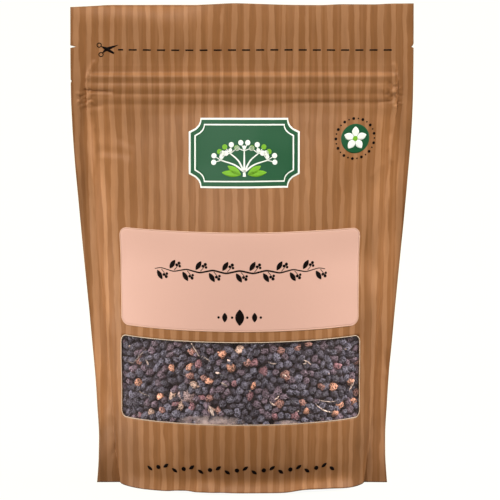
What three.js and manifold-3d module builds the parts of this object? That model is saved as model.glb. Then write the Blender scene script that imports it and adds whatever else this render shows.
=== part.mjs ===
// Stand-up pouch with a clear window, closed and filled with dried berries.
// Millimetres. X across the front, -Y toward the front, +Z up, z = 0 on the table.
import * as THREE from 'three';
import Module from 'manifold-3d';

// ---------------------------------------------------------------- dimensions
const WIDTH = 150;            // flat width of the pouch
const HEIGHT = 214;           // standing height
const FILM = 0.5;             // wall of a film panel
const CLEAR = 0.3;            // clearance between pieces that touch
const PLY = 0.35;             // thickness of the label and the window film

const WINDOW = { halfU: 57.1, z0: 32.2, z1: 68.4, radius: 2.6 };
const LABEL = { halfU: 54.7, z0: 73.5, z1: 116.2, radius: 3.5 };
const NOTCH = { z: 195.2, half: 1.0, depth: 2.7 };
const GUSSET_RISE = 38;       // height of the gusset fold at the side seals
const SKIRT = 5;              // height of the bottom seal at the middle
const FILL = 73;              // level of the berries

// Profiles over the height z, each a list of [z, value].
const HALF_DEPTH = [[0, 22.6], [5, 23.2], [9, 24.8], [14, 26.6], [27, 28.2], [45, 28.2], [65, 27],
  [80, 25.6], [98, 23.6], [114, 21.2], [130, 16.9], [140, 13.7], [150, 10], [161, 5], [167, 2.4],
  [170.5, 1.75], [184, 1.75], [191, 0.5], [HEIGHT, 0.35]];
const HALF_WIDTH = [[0, 64], [5, 63.6], [12, 63.2], [20, 63.1], [34, 63.8], [45, 64.4], [62, 65.9],
  [80, 67.5], [98, 69.2], [116, 70.9], [134, 72.4], [150, 73.7], [162, 74.4], [173, 74.8],
  [190, 75], [HEIGHT, 75]];
const FULLNESS = [[0, 0.5], [27, 0.58], [45, 0.62], [65, 0.68], [90, 0.85], [112, 1.05], [140, 1.1],
  [155, 1], [164, 0.5], [169, 0.14], [185, 0.14], [191, 0.5], [HEIGHT, 0.5]];
const SEAL = [[0, 10.5], [10, 8.6], [25, 7], [HEIGHT, 7]];

// Ribs the closure presses into both panels: [z, half width, height].
const ZIP_RIBS = [[172.9, 1.5, 0.35], [177.9, 1.9, 0.45], [183.3, 0.8, 0.3]];

const BERRY = { pitch: 3.6, top: -1.15, ring: -1.5, valley: -3.1, back: -6 };

const wasm = await Module();
wasm.setup();
const { Manifold } = wasm;

// --------------------------------------------------------------- mathematics
// Monotone cubic through a list of [z, value].
function profile(list) {
  const x = list.map((p) => p[0]);
  const y = list.map((p) => p[1]);
  const n = x.length;
  const h = x.slice(1).map((v, i) => v - x[i]);
  const d = h.map((v, i) => (y[i + 1] - y[i]) / v);
  const m = y.map((_, i) => {
    if (i === 0) return d[0];
    if (i === n - 1) return d[n - 2];
    if (d[i - 1] * d[i] <= 0) return 0;
    const w1 = 2 * h[i] + h[i - 1];
    const w2 = h[i] + 2 * h[i - 1];
    return (w1 + w2) / (w1 / d[i - 1] + w2 / d[i]);
  });
  return (q) => {
    const v = Math.min(Math.max(q, x[0]), x[n - 1]);
    let i = 0;
    while (i < n - 2 && v > x[i + 1]) i += 1;
    const t = (v - x[i]) / h[i];
    return (2 * t ** 3 - 3 * t ** 2 + 1) * y[i] + (t ** 3 - 2 * t ** 2 + t) * h[i] * m[i]
      + (3 * t ** 2 - 2 * t ** 3) * y[i + 1] + (t ** 3 - t ** 2) * h[i] * m[i + 1];
  };
}

const halfDepth = profile(HALF_DEPTH);
const halfWidth = profile(HALF_WIDTH);
const fullness = profile(FULLNESS);
const seal = profile(SEAL);

// Depth of the inner face of a panel from the middle plane, at plan position x and height z.
function innerDepth(x, z) {
  const a = halfWidth(z) - seal(z);
  const t = Math.min(Math.abs(x) / a, 1);
  return CLEAR / 2 + halfDepth(z) * (1 - t * t) ** fullness(z);
}

// One horizontal section: plan position x of a point at flat distance u from the middle line.
const sections = new Map();
function section(z) {
  const key = z.toFixed(4);
  if (!sections.has(key)) {
    const steps = 96;
    const a = halfWidth(z) - seal(z);
    const xs = [0];
    const run = [0];
    let last = [0, innerDepth(0, z)];
    for (let i = 1; i <= steps; i += 1) {
      const x = a * Math.sin((i / steps) * Math.PI / 2);
      const y = innerDepth(x, z);
      run.push(run[i - 1] + Math.hypot(x - last[0], y - last[1]));
      xs.push(x);
      last = [x, y];
    }
    sections.set(key, { a, xs, run, flat: WIDTH / 2 - seal(z) });
  }
  return sections.get(key);
}

function planX(u, z) {
  const { a, xs, run, flat } = section(z);
  const d = Math.abs(u);
  if (d >= flat) return Math.sign(u) * (a + d - flat);
  const r = (d / flat) * run[run.length - 1];
  let i = 1;
  while (run[i] < r) i += 1;
  const k = (r - run[i - 1]) / (run[i] - run[i - 1]);
  return Math.sign(u) * (xs[i - 1] + k * (xs[i] - xs[i - 1]));
}

// Point of a panel at flat position (u, z); side -1 is the front; lift is outward from the inner face.
function skin(u, z, side, lift) {
  const at = (p, q) => {
    const x = planX(p, q);
    return new THREE.Vector3(x, side * innerDepth(x, q), q);
  };
  const e = 0.4;
  const point = at(u, z);
  const across = at(Math.min(u + e, WIDTH / 2), z).sub(at(Math.max(u - e, -WIDTH / 2), z));
  const up = at(u, Math.min(z + e, HEIGHT)).sub(at(u, Math.max(z - e, 0)));
  const normal = across.cross(up).normalize().multiplyScalar(-side);
  normal.z *= Math.min(z / 6, (HEIGHT - z) / 6, 1);   // level top and bottom edges
  return point.addScaledVector(normal.normalize(), lift);
}

function zipRelief(u, z) {
  const fade = Math.min(Math.max((72 - Math.abs(u)) / 3, 0), 1);
  let h = 0;
  for (const [mid, half, rise] of ZIP_RIBS) {
    const t = Math.abs(z - mid) / half;
    if (t < 1) h = Math.max(h, rise * (1 - t * t));
  }
  return fade * h;
}

// Values from a to b, through every stop between them, no step longer than gap.
function lines(stops, gap) {
  const out = [stops[0]];
  for (let i = 1; i < stops.length; i += 1) {
    const n = Math.ceil((stops[i] - stops[i - 1]) / gap - 1e-6);
    for (let k = 1; k <= n; k += 1) out.push(stops[i - 1] + (stops[i] - stops[i - 1]) * (k / n));
  }
  return out;
}

// --------------------------------------------------------- flat meshes, solids
// A flat mesh of convex polygons with shared corners.
class Flat {
  constructor() {
    this.points = [];
    this.faces = [];
    this.index = new Map();
  }

  corner(p) {
    const key = `${p[0].toFixed(4)} ${p[1].toFixed(4)}`;
    if (!this.index.has(key)) {
      this.index.set(key, this.points.length);
      this.points.push(p);
    }
    return this.index.get(key);
  }

  polygon(list) {
    const ids = list.map((p) => this.corner(p));
    for (let i = 1; i < ids.length - 1; i += 1) this.faces.push([ids[0], ids[i], ids[i + 1]]);
  }

  // Every cell of a grid; shape(u0, u1, z0, z1) may return its own polygons.
  grid(us, zs, shape = () => null) {
    for (let i = 0; i < us.length - 1; i += 1) {
      for (let j = 0; j < zs.length - 1; j += 1) {
        const [a, b, c, d] = [us[i], us[i + 1], zs[j], zs[j + 1]];
        const own = shape(a, b, c, d);
        if (own) own.forEach((p) => this.polygon(p));
        else if (a + b > 0) this.polygon([[a, c], [b, c], [b, d], [a, d]]);
        else this.polygon([[b, c], [b, d], [a, d], [a, c]]);
      }
    }
  }
}

// A closed solid between two placements of a flat mesh.
function solid(flat, outer, inner) {
  const n = flat.points.length;
  const points = [...flat.points.map(outer), ...flat.points.map(inner)];
  const tris = [];
  const edges = new Map();
  for (const [a, b, c] of flat.faces) {
    tris.push([a, b, c], [n + a, n + c, n + b]);
    for (const [p, q] of [[a, b], [b, c], [c, a]]) {
      if (edges.has(`${q} ${p}`)) edges.delete(`${q} ${p}`);
      else edges.set(`${p} ${q}`, [p, q]);
    }
  }
  for (const [p, q] of edges.values()) tris.push([p, n + p, n + q], [p, n + q, q]);
  return { points, tris };
}

// A closed solid from rings of equal length, capped at both ends.
function loft(rings) {
  const n = rings[0].length;
  const points = rings.flat();
  const tris = [];
  for (let i = 0; i < rings.length - 1; i += 1) {
    for (let k = 0; k < n; k += 1) {
      const a = i * n + k;
      const b = i * n + ((k + 1) % n);
      tris.push([a, b, b + n], [a, b + n, a + n]);
    }
  }
  return { points, tris, n, last: (rings.length - 1) * n };
}

function mirrored({ points, tris }) {
  return {
    points: points.map((p) => new THREE.Vector3(p.x, -p.y, p.z)),
    tris: tris.map(([a, b, c]) => [a, c, b]),
  };
}

function manifold({ points, tris }) {
  const body = new Manifold(new wasm.Mesh({
    numProp: 3,
    vertProperties: new Float32Array(points.flatMap((p) => [p.x, p.y, p.z])),
    triVerts: new Uint32Array(tris.flat()),
  }));
  return body;
}

function unpack(body) {
  const mesh = body.getMesh();
  const points = [];
  const tris = [];
  for (let i = 0; i < mesh.numVert; i += 1) {
    points.push(new THREE.Vector3(...mesh.vertProperties.slice(i * mesh.numProp, i * mesh.numProp + 3)));
  }
  for (let i = 0; i < mesh.triVerts.length; i += 3) tris.push([...mesh.triVerts.slice(i, i + 3)]);
  return { points, tris };
}

const pouch = new THREE.Group();
pouch.name = 'stand_up_pouch';

function add(name, { points, tris }, material) {
  const geometry = new THREE.BufferGeometry();
  geometry.setAttribute('position',
    new THREE.Float32BufferAttribute(points.flatMap((p) => [p.x, p.y, p.z]), 3));
  geometry.setIndex(tris.flat());
  geometry.computeVertexNormals();
  const mesh = new THREE.Mesh(geometry, new THREE.MeshStandardMaterial(material));
  mesh.name = name;
  pouch.add(mesh);
}

// ------------------------------------------------------------------ the films
const kraft = { color: 0xa87850, roughness: 0.5, metalness: 0 };

// Corner cell of a rounded rectangle: the part inside the arc, or the part outside it.
function arcCell(cell, rect, keepInside) {
  const [u0, u1, z0, z1] = cell;
  const r = rect.radius;
  const su = u0 + u1 > 0 ? 1 : -1;
  const sz = z0 + z1 > rect.z0 + rect.z1 ? 1 : -1;
  const centre = [su * (rect.halfU - r), sz > 0 ? rect.z1 - r : rect.z0 + r];
  const far = [su * rect.halfU, sz > 0 ? rect.z1 : rect.z0];
  const arc = [];
  for (let i = 0; i <= 4; i += 1) {
    const q = (i / 4) * Math.PI / 2;
    arc.push([centre[0] + su * r * Math.cos(q), centre[1] + sz * r * Math.sin(q)]);
  }
  if (su * sz < 0) arc.reverse();
  return keepInside ? [[centre, ...arc]] : [[far, ...arc.reverse()]];
}

const near = (a, b) => Math.abs(a - b) < 1e-6;

function inCorner(u0, u1, z0, z1, rect) {
  const u = Math.max(Math.abs(u0), Math.abs(u1));
  return near(u, rect.halfU) && near(Math.abs(u1 - u0), rect.radius)
    && (near(z0, rect.z0) || near(z1, rect.z1)) && near(z1 - z0, rect.radius);
}

const bothSides = (list) => [...list.slice(1).map((v) => -v).reverse(), ...list];
const US = bothSides([0, 12, 24, 36, 46, WINDOW.halfU - WINDOW.radius, WINDOW.halfU, 61, 64.5, 68,
  WIDTH / 2 - NOTCH.depth, WIDTH / 2]);
const BACK_US = bothSides([0, 12, 24, 36, 48, 58, 63.5, 68, WIDTH / 2 - NOTCH.depth, WIDTH / 2]);
const UPPER = [...lines([WINDOW.z1, 128], 12), ...lines([135, 163], 7),
  169.2, 171.4, 172.9, 174.4, 176, 177.9, 179.8, 182.5, 183.3, 184.1, 187, 190.5,
  NOTCH.z - NOTCH.half, NOTCH.z, NOTCH.z + NOTCH.half, HEIGHT];

function notchCell(u0, u1, z0, z1) {
  const edge = WIDTH / 2;
  const tip = edge - NOTCH.depth;
  if (!near(Math.max(Math.abs(u0), Math.abs(u1)), edge)) return null;
  const su = u0 > 0 ? 1 : -1;
  const keep = (list) => [su > 0 ? list : list.reverse()];
  if (near(z1, NOTCH.z)) return keep([[su * tip, z0], [su * edge, z0], [su * tip, z1]]);
  if (near(z0, NOTCH.z)) return keep([[su * tip, z0], [su * edge, z1], [su * tip, z1]]);
  return null;
}

const frontFlat = new Flat();
frontFlat.grid(US,
  [0, 5, 7.5, 11, 17, 24, WINDOW.z0, WINDOW.z0 + WINDOW.radius, 44, 55, WINDOW.z1 - WINDOW.radius,
    ...UPPER],
  (u0, u1, z0, z1) => {
    const inside = Math.abs(u0 + u1) / 2 < WINDOW.halfU && z0 + z1 > 2 * WINDOW.z0
      && z0 + z1 < 2 * WINDOW.z1;
    if (!inside) return notchCell(u0, u1, z0, z1);
    return inCorner(u0, u1, z0, z1, WINDOW) ? arcCell([u0, u1, z0, z1], WINDOW, false) : [];
  });
add('front_panel',
  solid(frontFlat, ([u, z]) => skin(u, z, -1, FILM + zipRelief(u, z)), ([u, z]) => skin(u, z, -1, 0)),
  kraft);

const backFlat = new Flat();
backFlat.grid(BACK_US, [0, 5, 7.5, 11, 17, 24, 34, 45, 57, ...UPPER], notchCell);
add('back_panel', mirrored(solid(backFlat,
  ([u, z]) => skin(u, z, -1, FILM + zipRelief(u, z)), ([u, z]) => skin(u, z, -1, 0))), kraft);

// Floor of the gusset: height of its lower face at plan position x and cross position v (-1 to 1).
// It is flat on the table in the middle and climbs to the side seals and to the panels.
const FLOOR_END = 56.1;

function seamHeight(x) {
  return SKIRT + (GUSSET_RISE - SKIRT) * (x / FLOOR_END) ** 6;
}

function floorHeight(x, v) {
  const d = Math.min(Math.abs(x), FLOOR_END);
  const seam = seamHeight(d);
  const fold = (GUSSET_RISE - 1) * (Math.max(d - 24, 0) / (FLOOR_END - 24)) ** 3;
  const rise = Math.min(Math.max(Math.abs(v) - 0.55, 0) / 0.45, 1);
  return fold + (seam - FILM - fold) * rise ** 2;
}

function floorPoint(x, v, lift) {
  const d = Math.min(Math.abs(x), FLOOR_END);
  const reach = innerDepth(d, seamHeight(d)) - CLEAR - 0.35;
  return new THREE.Vector3(x, reach * v, floorHeight(x, v) + lift);
}

const floorXs = bothSides([0, 10, 19, 27, 34, 40, 45, 49, 52.5, FLOOR_END]);
const floorVs = bothSides([0, 0.55, 0.68, 0.82, 1]);
const floorFlat = new Flat();
floorFlat.grid(floorXs, floorVs);
add('bottom_gusset',
  solid(floorFlat, ([x, v]) => floorPoint(x, v, FILM), ([x, v]) => floorPoint(x, v, 0)), kraft);

// Clear film behind the opening.
const filmFlat = new Flat();
filmFlat.grid([-58.6, ...US.filter((u) => Math.abs(u) < WINDOW.halfU + 1), 58.6],
  [WINDOW.z0 - 2, WINDOW.z0, WINDOW.z0 + WINDOW.radius, 44, 55, WINDOW.z1 - WINDOW.radius, WINDOW.z1,
    WINDOW.z1 + 3]);
add('window_film',
  solid(filmFlat, ([u, z]) => skin(u, z, -1, -CLEAR), ([u, z]) => skin(u, z, -1, -CLEAR - PLY)),
  { color: 0xe8ecec, roughness: 0.15, metalness: 0, transparent: true, opacity: 0.3 });

// Label on the front panel.
const labelInner = LABEL.halfU - LABEL.radius;
const labelUs = US.filter((u) => Math.abs(u) < labelInner - 1);
const labelFlat = new Flat();
labelFlat.grid([-LABEL.halfU, -labelInner, ...labelUs, labelInner, LABEL.halfU],
  lines([LABEL.z0, LABEL.z0 + LABEL.radius, LABEL.z1 - LABEL.radius, LABEL.z1], 9),
  (u0, u1, z0, z1) => (inCorner(u0, u1, z0, z1, LABEL) ? arcCell([u0, u1, z0, z1], LABEL, true) : null));
add('product_label',
  solid(labelFlat, ([u, z]) => skin(u, z, -1, FILM + CLEAR + PLY), ([u, z]) => skin(u, z, -1, FILM + CLEAR)),
  { color: 0xebb9a2, roughness: 0.55, metalness: 0 });

// ---------------------------------------------------------------- the closure
// A straight strip along X whose cross-section is a list of boxes [y0, y1, z0, z1].
function strip(boxes) {
  const bodies = boxes.map(([y0, y1, z0, z1]) => Manifold.cube([116, y1 - y0, z1 - z0])
    .translate([-58, y0, z0]));
  return unpack(Manifold.union(bodies));
}

const plastic = { color: 0xd9cbb8, roughness: 0.4, metalness: 0 };
add('zip_groove_strip', strip([[-1.2, -0.75, 170.5, 182.5], [-0.8, 0.25, 175, 176],
  [-0.8, 0.25, 177.4, 178.4]]), plastic);
add('zip_rib_strip', strip([[0.75, 1.2, 170.5, 182.5], [-0.35, 0.8, 176.4, 177]]), plastic);

// ---------------------------------------------------------------- the filling
// Smooth heap inside the films, kept clear of every wall.
function heap() {
  const clearBack = 1.3;
  const clearFront = 4.2;
  const edge = 0.8;
  const reachX = (z) => {
    let lo = 0;
    let hi = halfWidth(z) - seal(z);
    for (let i = 0; i < 30; i += 1) {
      const mid = (lo + hi) / 2;
      if (innerDepth(mid, z) > clearBack + edge) lo = mid;
      else hi = mid;
    }
    return lo;
  };
  const ring = (z, level, scale) => {
    const xs = lines([-1, 0, 1], 1 / 5).map((k) => reachX(level) * Math.sin((k * Math.PI) / 2));
    const front = xs.map((x) => [x, -Math.max(innerDepth(x, level) - clearFront, edge)]);
    const back = xs.reverse().map((x) => [x, Math.max(innerDepth(x, level) - clearBack, edge)]);
    return [...front, ...back].map(([x, y]) => new THREE.Vector3(scale * x, scale * y, z));
  };
  const rings = [
    ...[-1, 6, 14, 24, 34, 45, 56, 66].map((z) => ring(z, z, 1)),
    ring(FILL - 3, FILL - 3, 1), ring(FILL - 0.5, FILL - 3, 0.9), ring(FILL + 1.5, FILL - 3, 0.6),
  ];
  const { points, tris } = loft(rings);
  const n = rings[0].length;
  const bottom = points.push(new THREE.Vector3(0, 0, -1)) - 1;
  const top = points.push(new THREE.Vector3(0, 0, FILL + 2.2)) - 1;
  const last = (rings.length - 1) * n;
  for (let k = 0; k < n; k += 1) {
    const next = (k + 1) % n;
    tris.push([bottom, next, k], [top, last + k, last + next]);
  }
  const under = new Flat();
  under.grid([-70, ...floorXs, 70], [-2, ...floorVs, 2]);
  const block = solid(under, ([x, v]) => floorPoint(x, v, FILM + 0.8),
    ([x, v]) => floorPoint(x, v, 0).setZ(-12));
  return manifold({ points, tris }).subtract(manifold(block));
}

// Repeatable noise in -1 to 1.
let seed = 7;
function noise() {
  seed = (seed * 1103515245 + 12345) % 2147483648;
  return (seed / 1073741824) - 1;
}

// Berries pressed against the window: one dome in each cell of a staggered lattice.
function berryWall() {
  const { pitch, top, ring, valley, back } = BERRY;
  const rise = (pitch * Math.sqrt(3)) / 2;
  const rows = Math.ceil((WINDOW.z1 - WINDOW.z0) / rise);
  const cols = Math.ceil((2 * WINDOW.halfU) / pitch);
  const cornerU = [1, 0, -1, -1, 0, 1];      // hexagon corners, in half pitches
  const cornerZ = [1, 2, 1, -1, -2, -1];     // and in thirds of a row
  const points = [];
  const tris = [];
  const shared = new Map();
  const place = (u, z, lift) => points.push(skin(u, z, -1, lift)) - 1;
  const u0 = (i) => ((i - (2 * cols - 1) / 2) * pitch) / 2;
  const z0 = (j) => (WINDOW.z0 + WINDOW.z1 - (rows - 1) * rise) / 2 + (j * rise) / 3;
  const valleyAt = (i, j) => {
    const key = `${i} ${j}`;
    if (!shared.has(key)) {
      const u = u0(i) + 0.3 * noise();
      const z = z0(j) + 0.3 * noise();
      shared.set(key, { front: place(u, z, valley + 0.35 * noise()), behind: place(u, z, back) });
    }
    return shared.get(key);
  };
  const edges = new Map();
  for (let row = 0; row < rows; row += 1) {
    for (let col = 0; col < cols; col += 1) {
      const i = 2 * col + (row % 2);
      const j = 3 * row;
      const u = u0(i) + 0.25 * noise();
      const z = z0(j) + 0.25 * noise();
      const sink = -0.35 * (1 + noise());
      const apex = place(u, z, top + sink);
      const centre = place(u, z, back);
      const outer = cornerU.map((c, k) => valleyAt(i + c, j + cornerZ[k]));
      const inner = cornerU.map((c, k) => {
        const q = (k * Math.PI) / 3 + Math.PI / 6;
        return place(u + 0.33 * pitch * Math.cos(q), z + 0.33 * pitch * Math.sin(q), ring + sink);
      });
      for (let k = 0; k < 6; k += 1) {
        const m = (k + 1) % 6;
        tris.push([apex, inner[k], inner[m]]);
        tris.push([inner[k], outer[k].front, outer[m].front], [inner[k], outer[m].front, inner[m]]);
        tris.push([centre, outer[m].behind, outer[k].behind]);
        const there = `${outer[m].front} ${outer[k].front}`;
        if (edges.has(there)) edges.delete(there);
        else edges.set(`${outer[k].front} ${outer[m].front}`, [outer[k], outer[m]]);
      }
    }
  }
  for (const [p, q] of edges.values()) {
    tris.push([p.front, p.behind, q.behind], [p.front, q.behind, q.front]);
  }
  return manifold({ points, tris });
}

// One larger berry and a few bits of stalk lie among the others.
function oddments() {
  const list = [];
  const big = skin(-26, 43.5, -1, -4.1);
  list.push(Manifold.sphere(2.9, 12).translate([big.x, big.y, big.z]));
  const stalks = [[-47, 52, 20], [-31, 61, -35], [-12, 39, 65], [3, 57, 10], [16, 45, -60], [27, 62, 30],
    [38, 37, -15], [49, 54, 75]];
  for (const [u, z, turn] of stalks) {
    const p = skin(u, z, -1, -1.9);
    const q = skin(u + 0.5, z, -1, -1.9);
    const yaw = (Math.atan2(q.y - p.y, q.x - p.x) * 180) / Math.PI;
    list.push(Manifold.cube([6.5, 0.9, 0.8], true).rotate([0, turn, 0]).rotate([0, 0, yaw])
      .translate([p.x, p.y, p.z]));
  }
  return list;
}

const filling = unpack(Manifold.union([heap(), berryWall(), ...oddments()]));
add('dried_berries', filling, { color: 0x3d3438, roughness: 0.75, metalness: 0 });

export default pouch;
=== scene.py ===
"""Stand-up pouch of dried elderberries: kraft-striped film, clear window, printed marks."""
import math

import bpy
import numpy as np
from bpy.props import (BoolProperty, FloatProperty, FloatVectorProperty, IntProperty,
                       PointerProperty)
from bpy.types import Operator, Panel, PropertyGroup
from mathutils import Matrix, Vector


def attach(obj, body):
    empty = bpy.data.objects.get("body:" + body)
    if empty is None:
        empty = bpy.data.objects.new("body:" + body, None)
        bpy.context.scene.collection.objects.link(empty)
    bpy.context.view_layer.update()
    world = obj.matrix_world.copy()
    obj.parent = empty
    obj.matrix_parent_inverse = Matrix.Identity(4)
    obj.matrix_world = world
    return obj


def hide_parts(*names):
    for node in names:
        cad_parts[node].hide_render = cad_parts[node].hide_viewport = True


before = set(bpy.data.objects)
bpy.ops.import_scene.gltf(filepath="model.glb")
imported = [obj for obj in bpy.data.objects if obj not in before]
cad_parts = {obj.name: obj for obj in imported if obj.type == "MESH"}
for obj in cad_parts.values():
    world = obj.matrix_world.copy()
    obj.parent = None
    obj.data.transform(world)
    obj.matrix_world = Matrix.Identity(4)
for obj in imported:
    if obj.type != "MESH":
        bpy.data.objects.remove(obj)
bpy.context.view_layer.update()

bl_info = {
    "name": "Window Pouch",
    "version": (1, 0, 0),
    "blender": (4, 5, 0),
    "location": "3D View > Sidebar > Pouch",
    "description": "Builds a filled stand-up pouch with a clear window over its packed frame",
    "category": "Add Mesh",
}

MM = 0.001

# ------------------------------------------------------------------ the pouch, in millimetres
WIDTH, HEIGHT, CLEAR = 150.0, 214.0, 0.06
WINDOW = dict(half_u=56.2, z0=32.2, z1=68.4, radius=2.6)
WINDOW_SHIFT, WINDOW_TAPER, WINDOW_MIDDLE = -0.95, 0.0007, 50.3
LABEL = dict(half_u=54.9, z0=73.5, z1=116.2, radius=3.5)
LABEL_SHIFT = (-1.15, 0)
HALF_DEPTH = [(0, 22.6), (5, 23.2), (9, 24.8), (14, 26.6), (27, 28.2), (45, 28.2), (65, 27),
              (80, 25.6), (98, 23.6), (114, 21.2), (130, 16.9), (140, 13.7), (150, 10), (161, 5),
              (167, 2.4), (170.5, 1.75), (182.3, 1.75), (184.2, 0.5), (HEIGHT, 0.35)]
HALF_WIDTH = [(0, 64), (5, 63.6), (12, 63.2), (20, 63.1), (34, 63.8), (45, 64.4), (62, 65.9),
              (80, 67.5), (98, 69.2), (116, 70.9), (134, 72.4), (150, 73.7), (162, 74.4),
              (173, 74.8), (190, 75), (HEIGHT, 75)]
FULLNESS = [(0, 0.5), (27, 0.58), (45, 0.62), (65, 0.68), (90, 0.85), (112, 1.05), (140, 1.1),
            (155, 1), (164, 0.5), (169, 0.14), (185, 0.14), (191, 0.5), (HEIGHT, 0.5)]
SEAL = [(0, 10.5), (10, 8.6), (25, 7), (HEIGHT, 7)]
TOP_EDGE = [(-75, -1.2), (-65, -0.8), (-57, -0.4), (-22, -0.4), (-13, 0), (-4, 0.4), (8, 0),
            (24, -0.4), (34, -0.4), (44, 0), (57, 0), (67, 0.4), (75, 0.4)]
# ribs: from and to (height), rise, and how far the crest leans up
ZIP_RIBS = [(169.9, 174.4, 0.4, 1.35), (174.4, 179.2, 0.52, 1.35), (179.2, 183.2, 0.42, 2.3),
            (186.2, 187.4, 0.05, 1.0)]
# wrinkles where the closure's ends are crushed: from and to (flat places), height, half width
WRINKLES = [(-64.7, 188.2, -67.6, 181.8, 0.65, 0.8), (-67.0, 181.2, -68.2, 177.6, 0.45, 0.6),
            (-68.6, 175.7, -56.5, 175.5, -0.7, 0.6), (-67.6, 174.4, -57.0, 174.2, 0.25, 0.5),
            (-71.6, 170.6, -66.8, 172.8, 0.35, 0.6), (-70.6, 168.4, -65.4, 171.2, 0.35, 0.6),
            (-66.2, 173.8, -64.4, 170.2, 0.3, 0.55), (-69.8, 168.2, -61.5, 168.8, -0.35, 0.9),
            (66.4, 187.2, 67.8, 181.0, 0.4, 0.8), (68.2, 180.6, 65.2, 174.6, 0.35, 0.7),
            (69.4, 177.0, 66.4, 170.4, 0.3, 0.6), (61.2, 176.6, 62.6, 173.4, 0.3, 0.7),
            (66.0, 170.2, 67.6, 166.2, 0.35, 0.9), (58.5, 170.8, 64.0, 171.2, -0.35, 0.7)]
# creases down the sides, as above
CREASES = [(-66, 166.5, -65.4, 159.5, 0.35, 0.8), (-65.4, 159.5, -65.4, 149.5, 0.35, 0.9),
           (-65.4, 149.5, -66.9, 139.5, 0.3, 0.9), (-64.2, 149.5, -50.7, 148, -0.5, 2),
           (-63.3, 146.5, -53.4, 146.5, 0.2, 0.8), (-63.3, 69.5, -62.4, 60, 0.3, 0.7),
           (-68.7, 48.5, -66.3, 42, 0.35, 0.7), (-66.3, 42, -69.3, 31.5, 0.3, 0.7),
           (-63.6, 25.5, -68.7, 12.5, -0.35, 0.9), (-69.9, 22, -61.8, 23, 0.25, 0.8),
           (65.1, 170, 65.7, 164.5, 0.35, 0.7), (66, 155, 65.4, 150, 0.35, 0.7),
           (65.4, 150, 67.2, 144, 0.35, 0.7), (58.5, 138.5, 62.7, 143.5, 0.3, 1),
           (72, 57, 73.5, 49.5, -0.35, 0.8), (69.9, 49.5, 73.8, 47.5, 0.3, 0.7),
           (-54, 154.5, -48.6, 152, -0.3, 1.6)]
NOTCHES = [(195.2, 0.6, 2.5, -1), (195.4, 0.5, 1.7, 1), (180.0, 0.5, 0.6, -1)]
SEAM = dict(end=56.1, skirt=5.0, rise=38.0)
FILL_TOP = 73.0
# gentle waves: bands of |u| and of height (up from, to, down from, to), then two ripples, each
# by height, what its seed adds, and its cell's width and height
WAVES = [((56, 61, 66, 69), (70, 90, 162, 170), (0.35, 3, 4.6, 17), (0.15, 13, 2.4, 8)),
         ((-2, -1, 60, 67), (112, 135, 160, 169), (0.75, 4, 30, 24), (0.25, 5, 10, 15)),
         ((-2, -1, 54, 63), (7, 16, 66, 84), (0.16, 6, 7.5, 12), (0.07, 7, 3.2, 3.6)),
         ((50, 60, 64, 67), (8, 20, 80, 150), (0.5, 8, 5, 19), (0.3, 12, 2.6, 9))]
SEEDS = {-1: 11, 1: 31}  # of the front's and the back's ripples
BACK_STRIPES = 260  # how far along the stripes the back panel starts
PLAQUE, MARK = (1.0, 149.5), (50.0, 155.2)  # middles of the green ornaments
# pale haze on the window, painted reflection with some dust, in decimetres: middle across and up,
# radius across and up
REFLECTION_AND_DUST_OVALS = [(-0.135, 0.33, 0.155, 0.033), (0.195, 0.324, 0.06, 0.015)]
# soft boxes about the pouch, in metres: azimuth (0 is the front, minus is left), elevation,
# distance, width, height and watts
LIGHTS = [("top_box", -14, 38, 1.5, 0.9, 0.5, 15.9), ("left_box", -88, 10, 1.5, 1.0, 1.5, 31.0),
          ("right_box", 88, 32, 1.5, 1.0, 1.5, 33.0), ("back_box", 180, 40, 1.8, 1.2, 0.8, 14.0)]
# lens in millimetres, distance in metres, degrees above the floor, and the point aimed at
CAMERA = dict(lens=656.0, distance=4.0, tilt=11.5, aim=(3.5, 0, 104.5))
# layer of loose berries: half its width, how far it reaches past the window, its depth and how
# deep its front ones lie
LAYER = dict(half_u=59.5, over=3.0, deep=8.5, front=4.2)
# the heap's distances to that layer's film, the front and the back, and the domes on its skin
HEAP = dict(behind_layer=7.5, behind_front=3.0, before_back=2.2, dome_wide=3.5, dome_high=3.4,
            dome_rise=0.9)
# berries: blue-black, grey-blue, plum, wine red, rust, orange and straw
PALETTE = [(78, 71, 81), (104, 98, 110), (110, 90, 99), (148, 100, 104), (174, 122, 108),
           (226, 158, 126), (206, 168, 146)]
SHARES = (0.45, 0.33, 0.21, 0.006, 0.004)  # of the first five among the loose berries
# the heap's colour is darker than any berry: painted shade for the gaps between the loose berries
STALK_COLOUR, HEAP_SHADE_COLOUR = (180, 156, 142), (44, 36, 42)
BIG_BERRY, BIG_COLOUR = (-25.4, 43.7), (172, 142, 136)  # the one large pale berry
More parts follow.
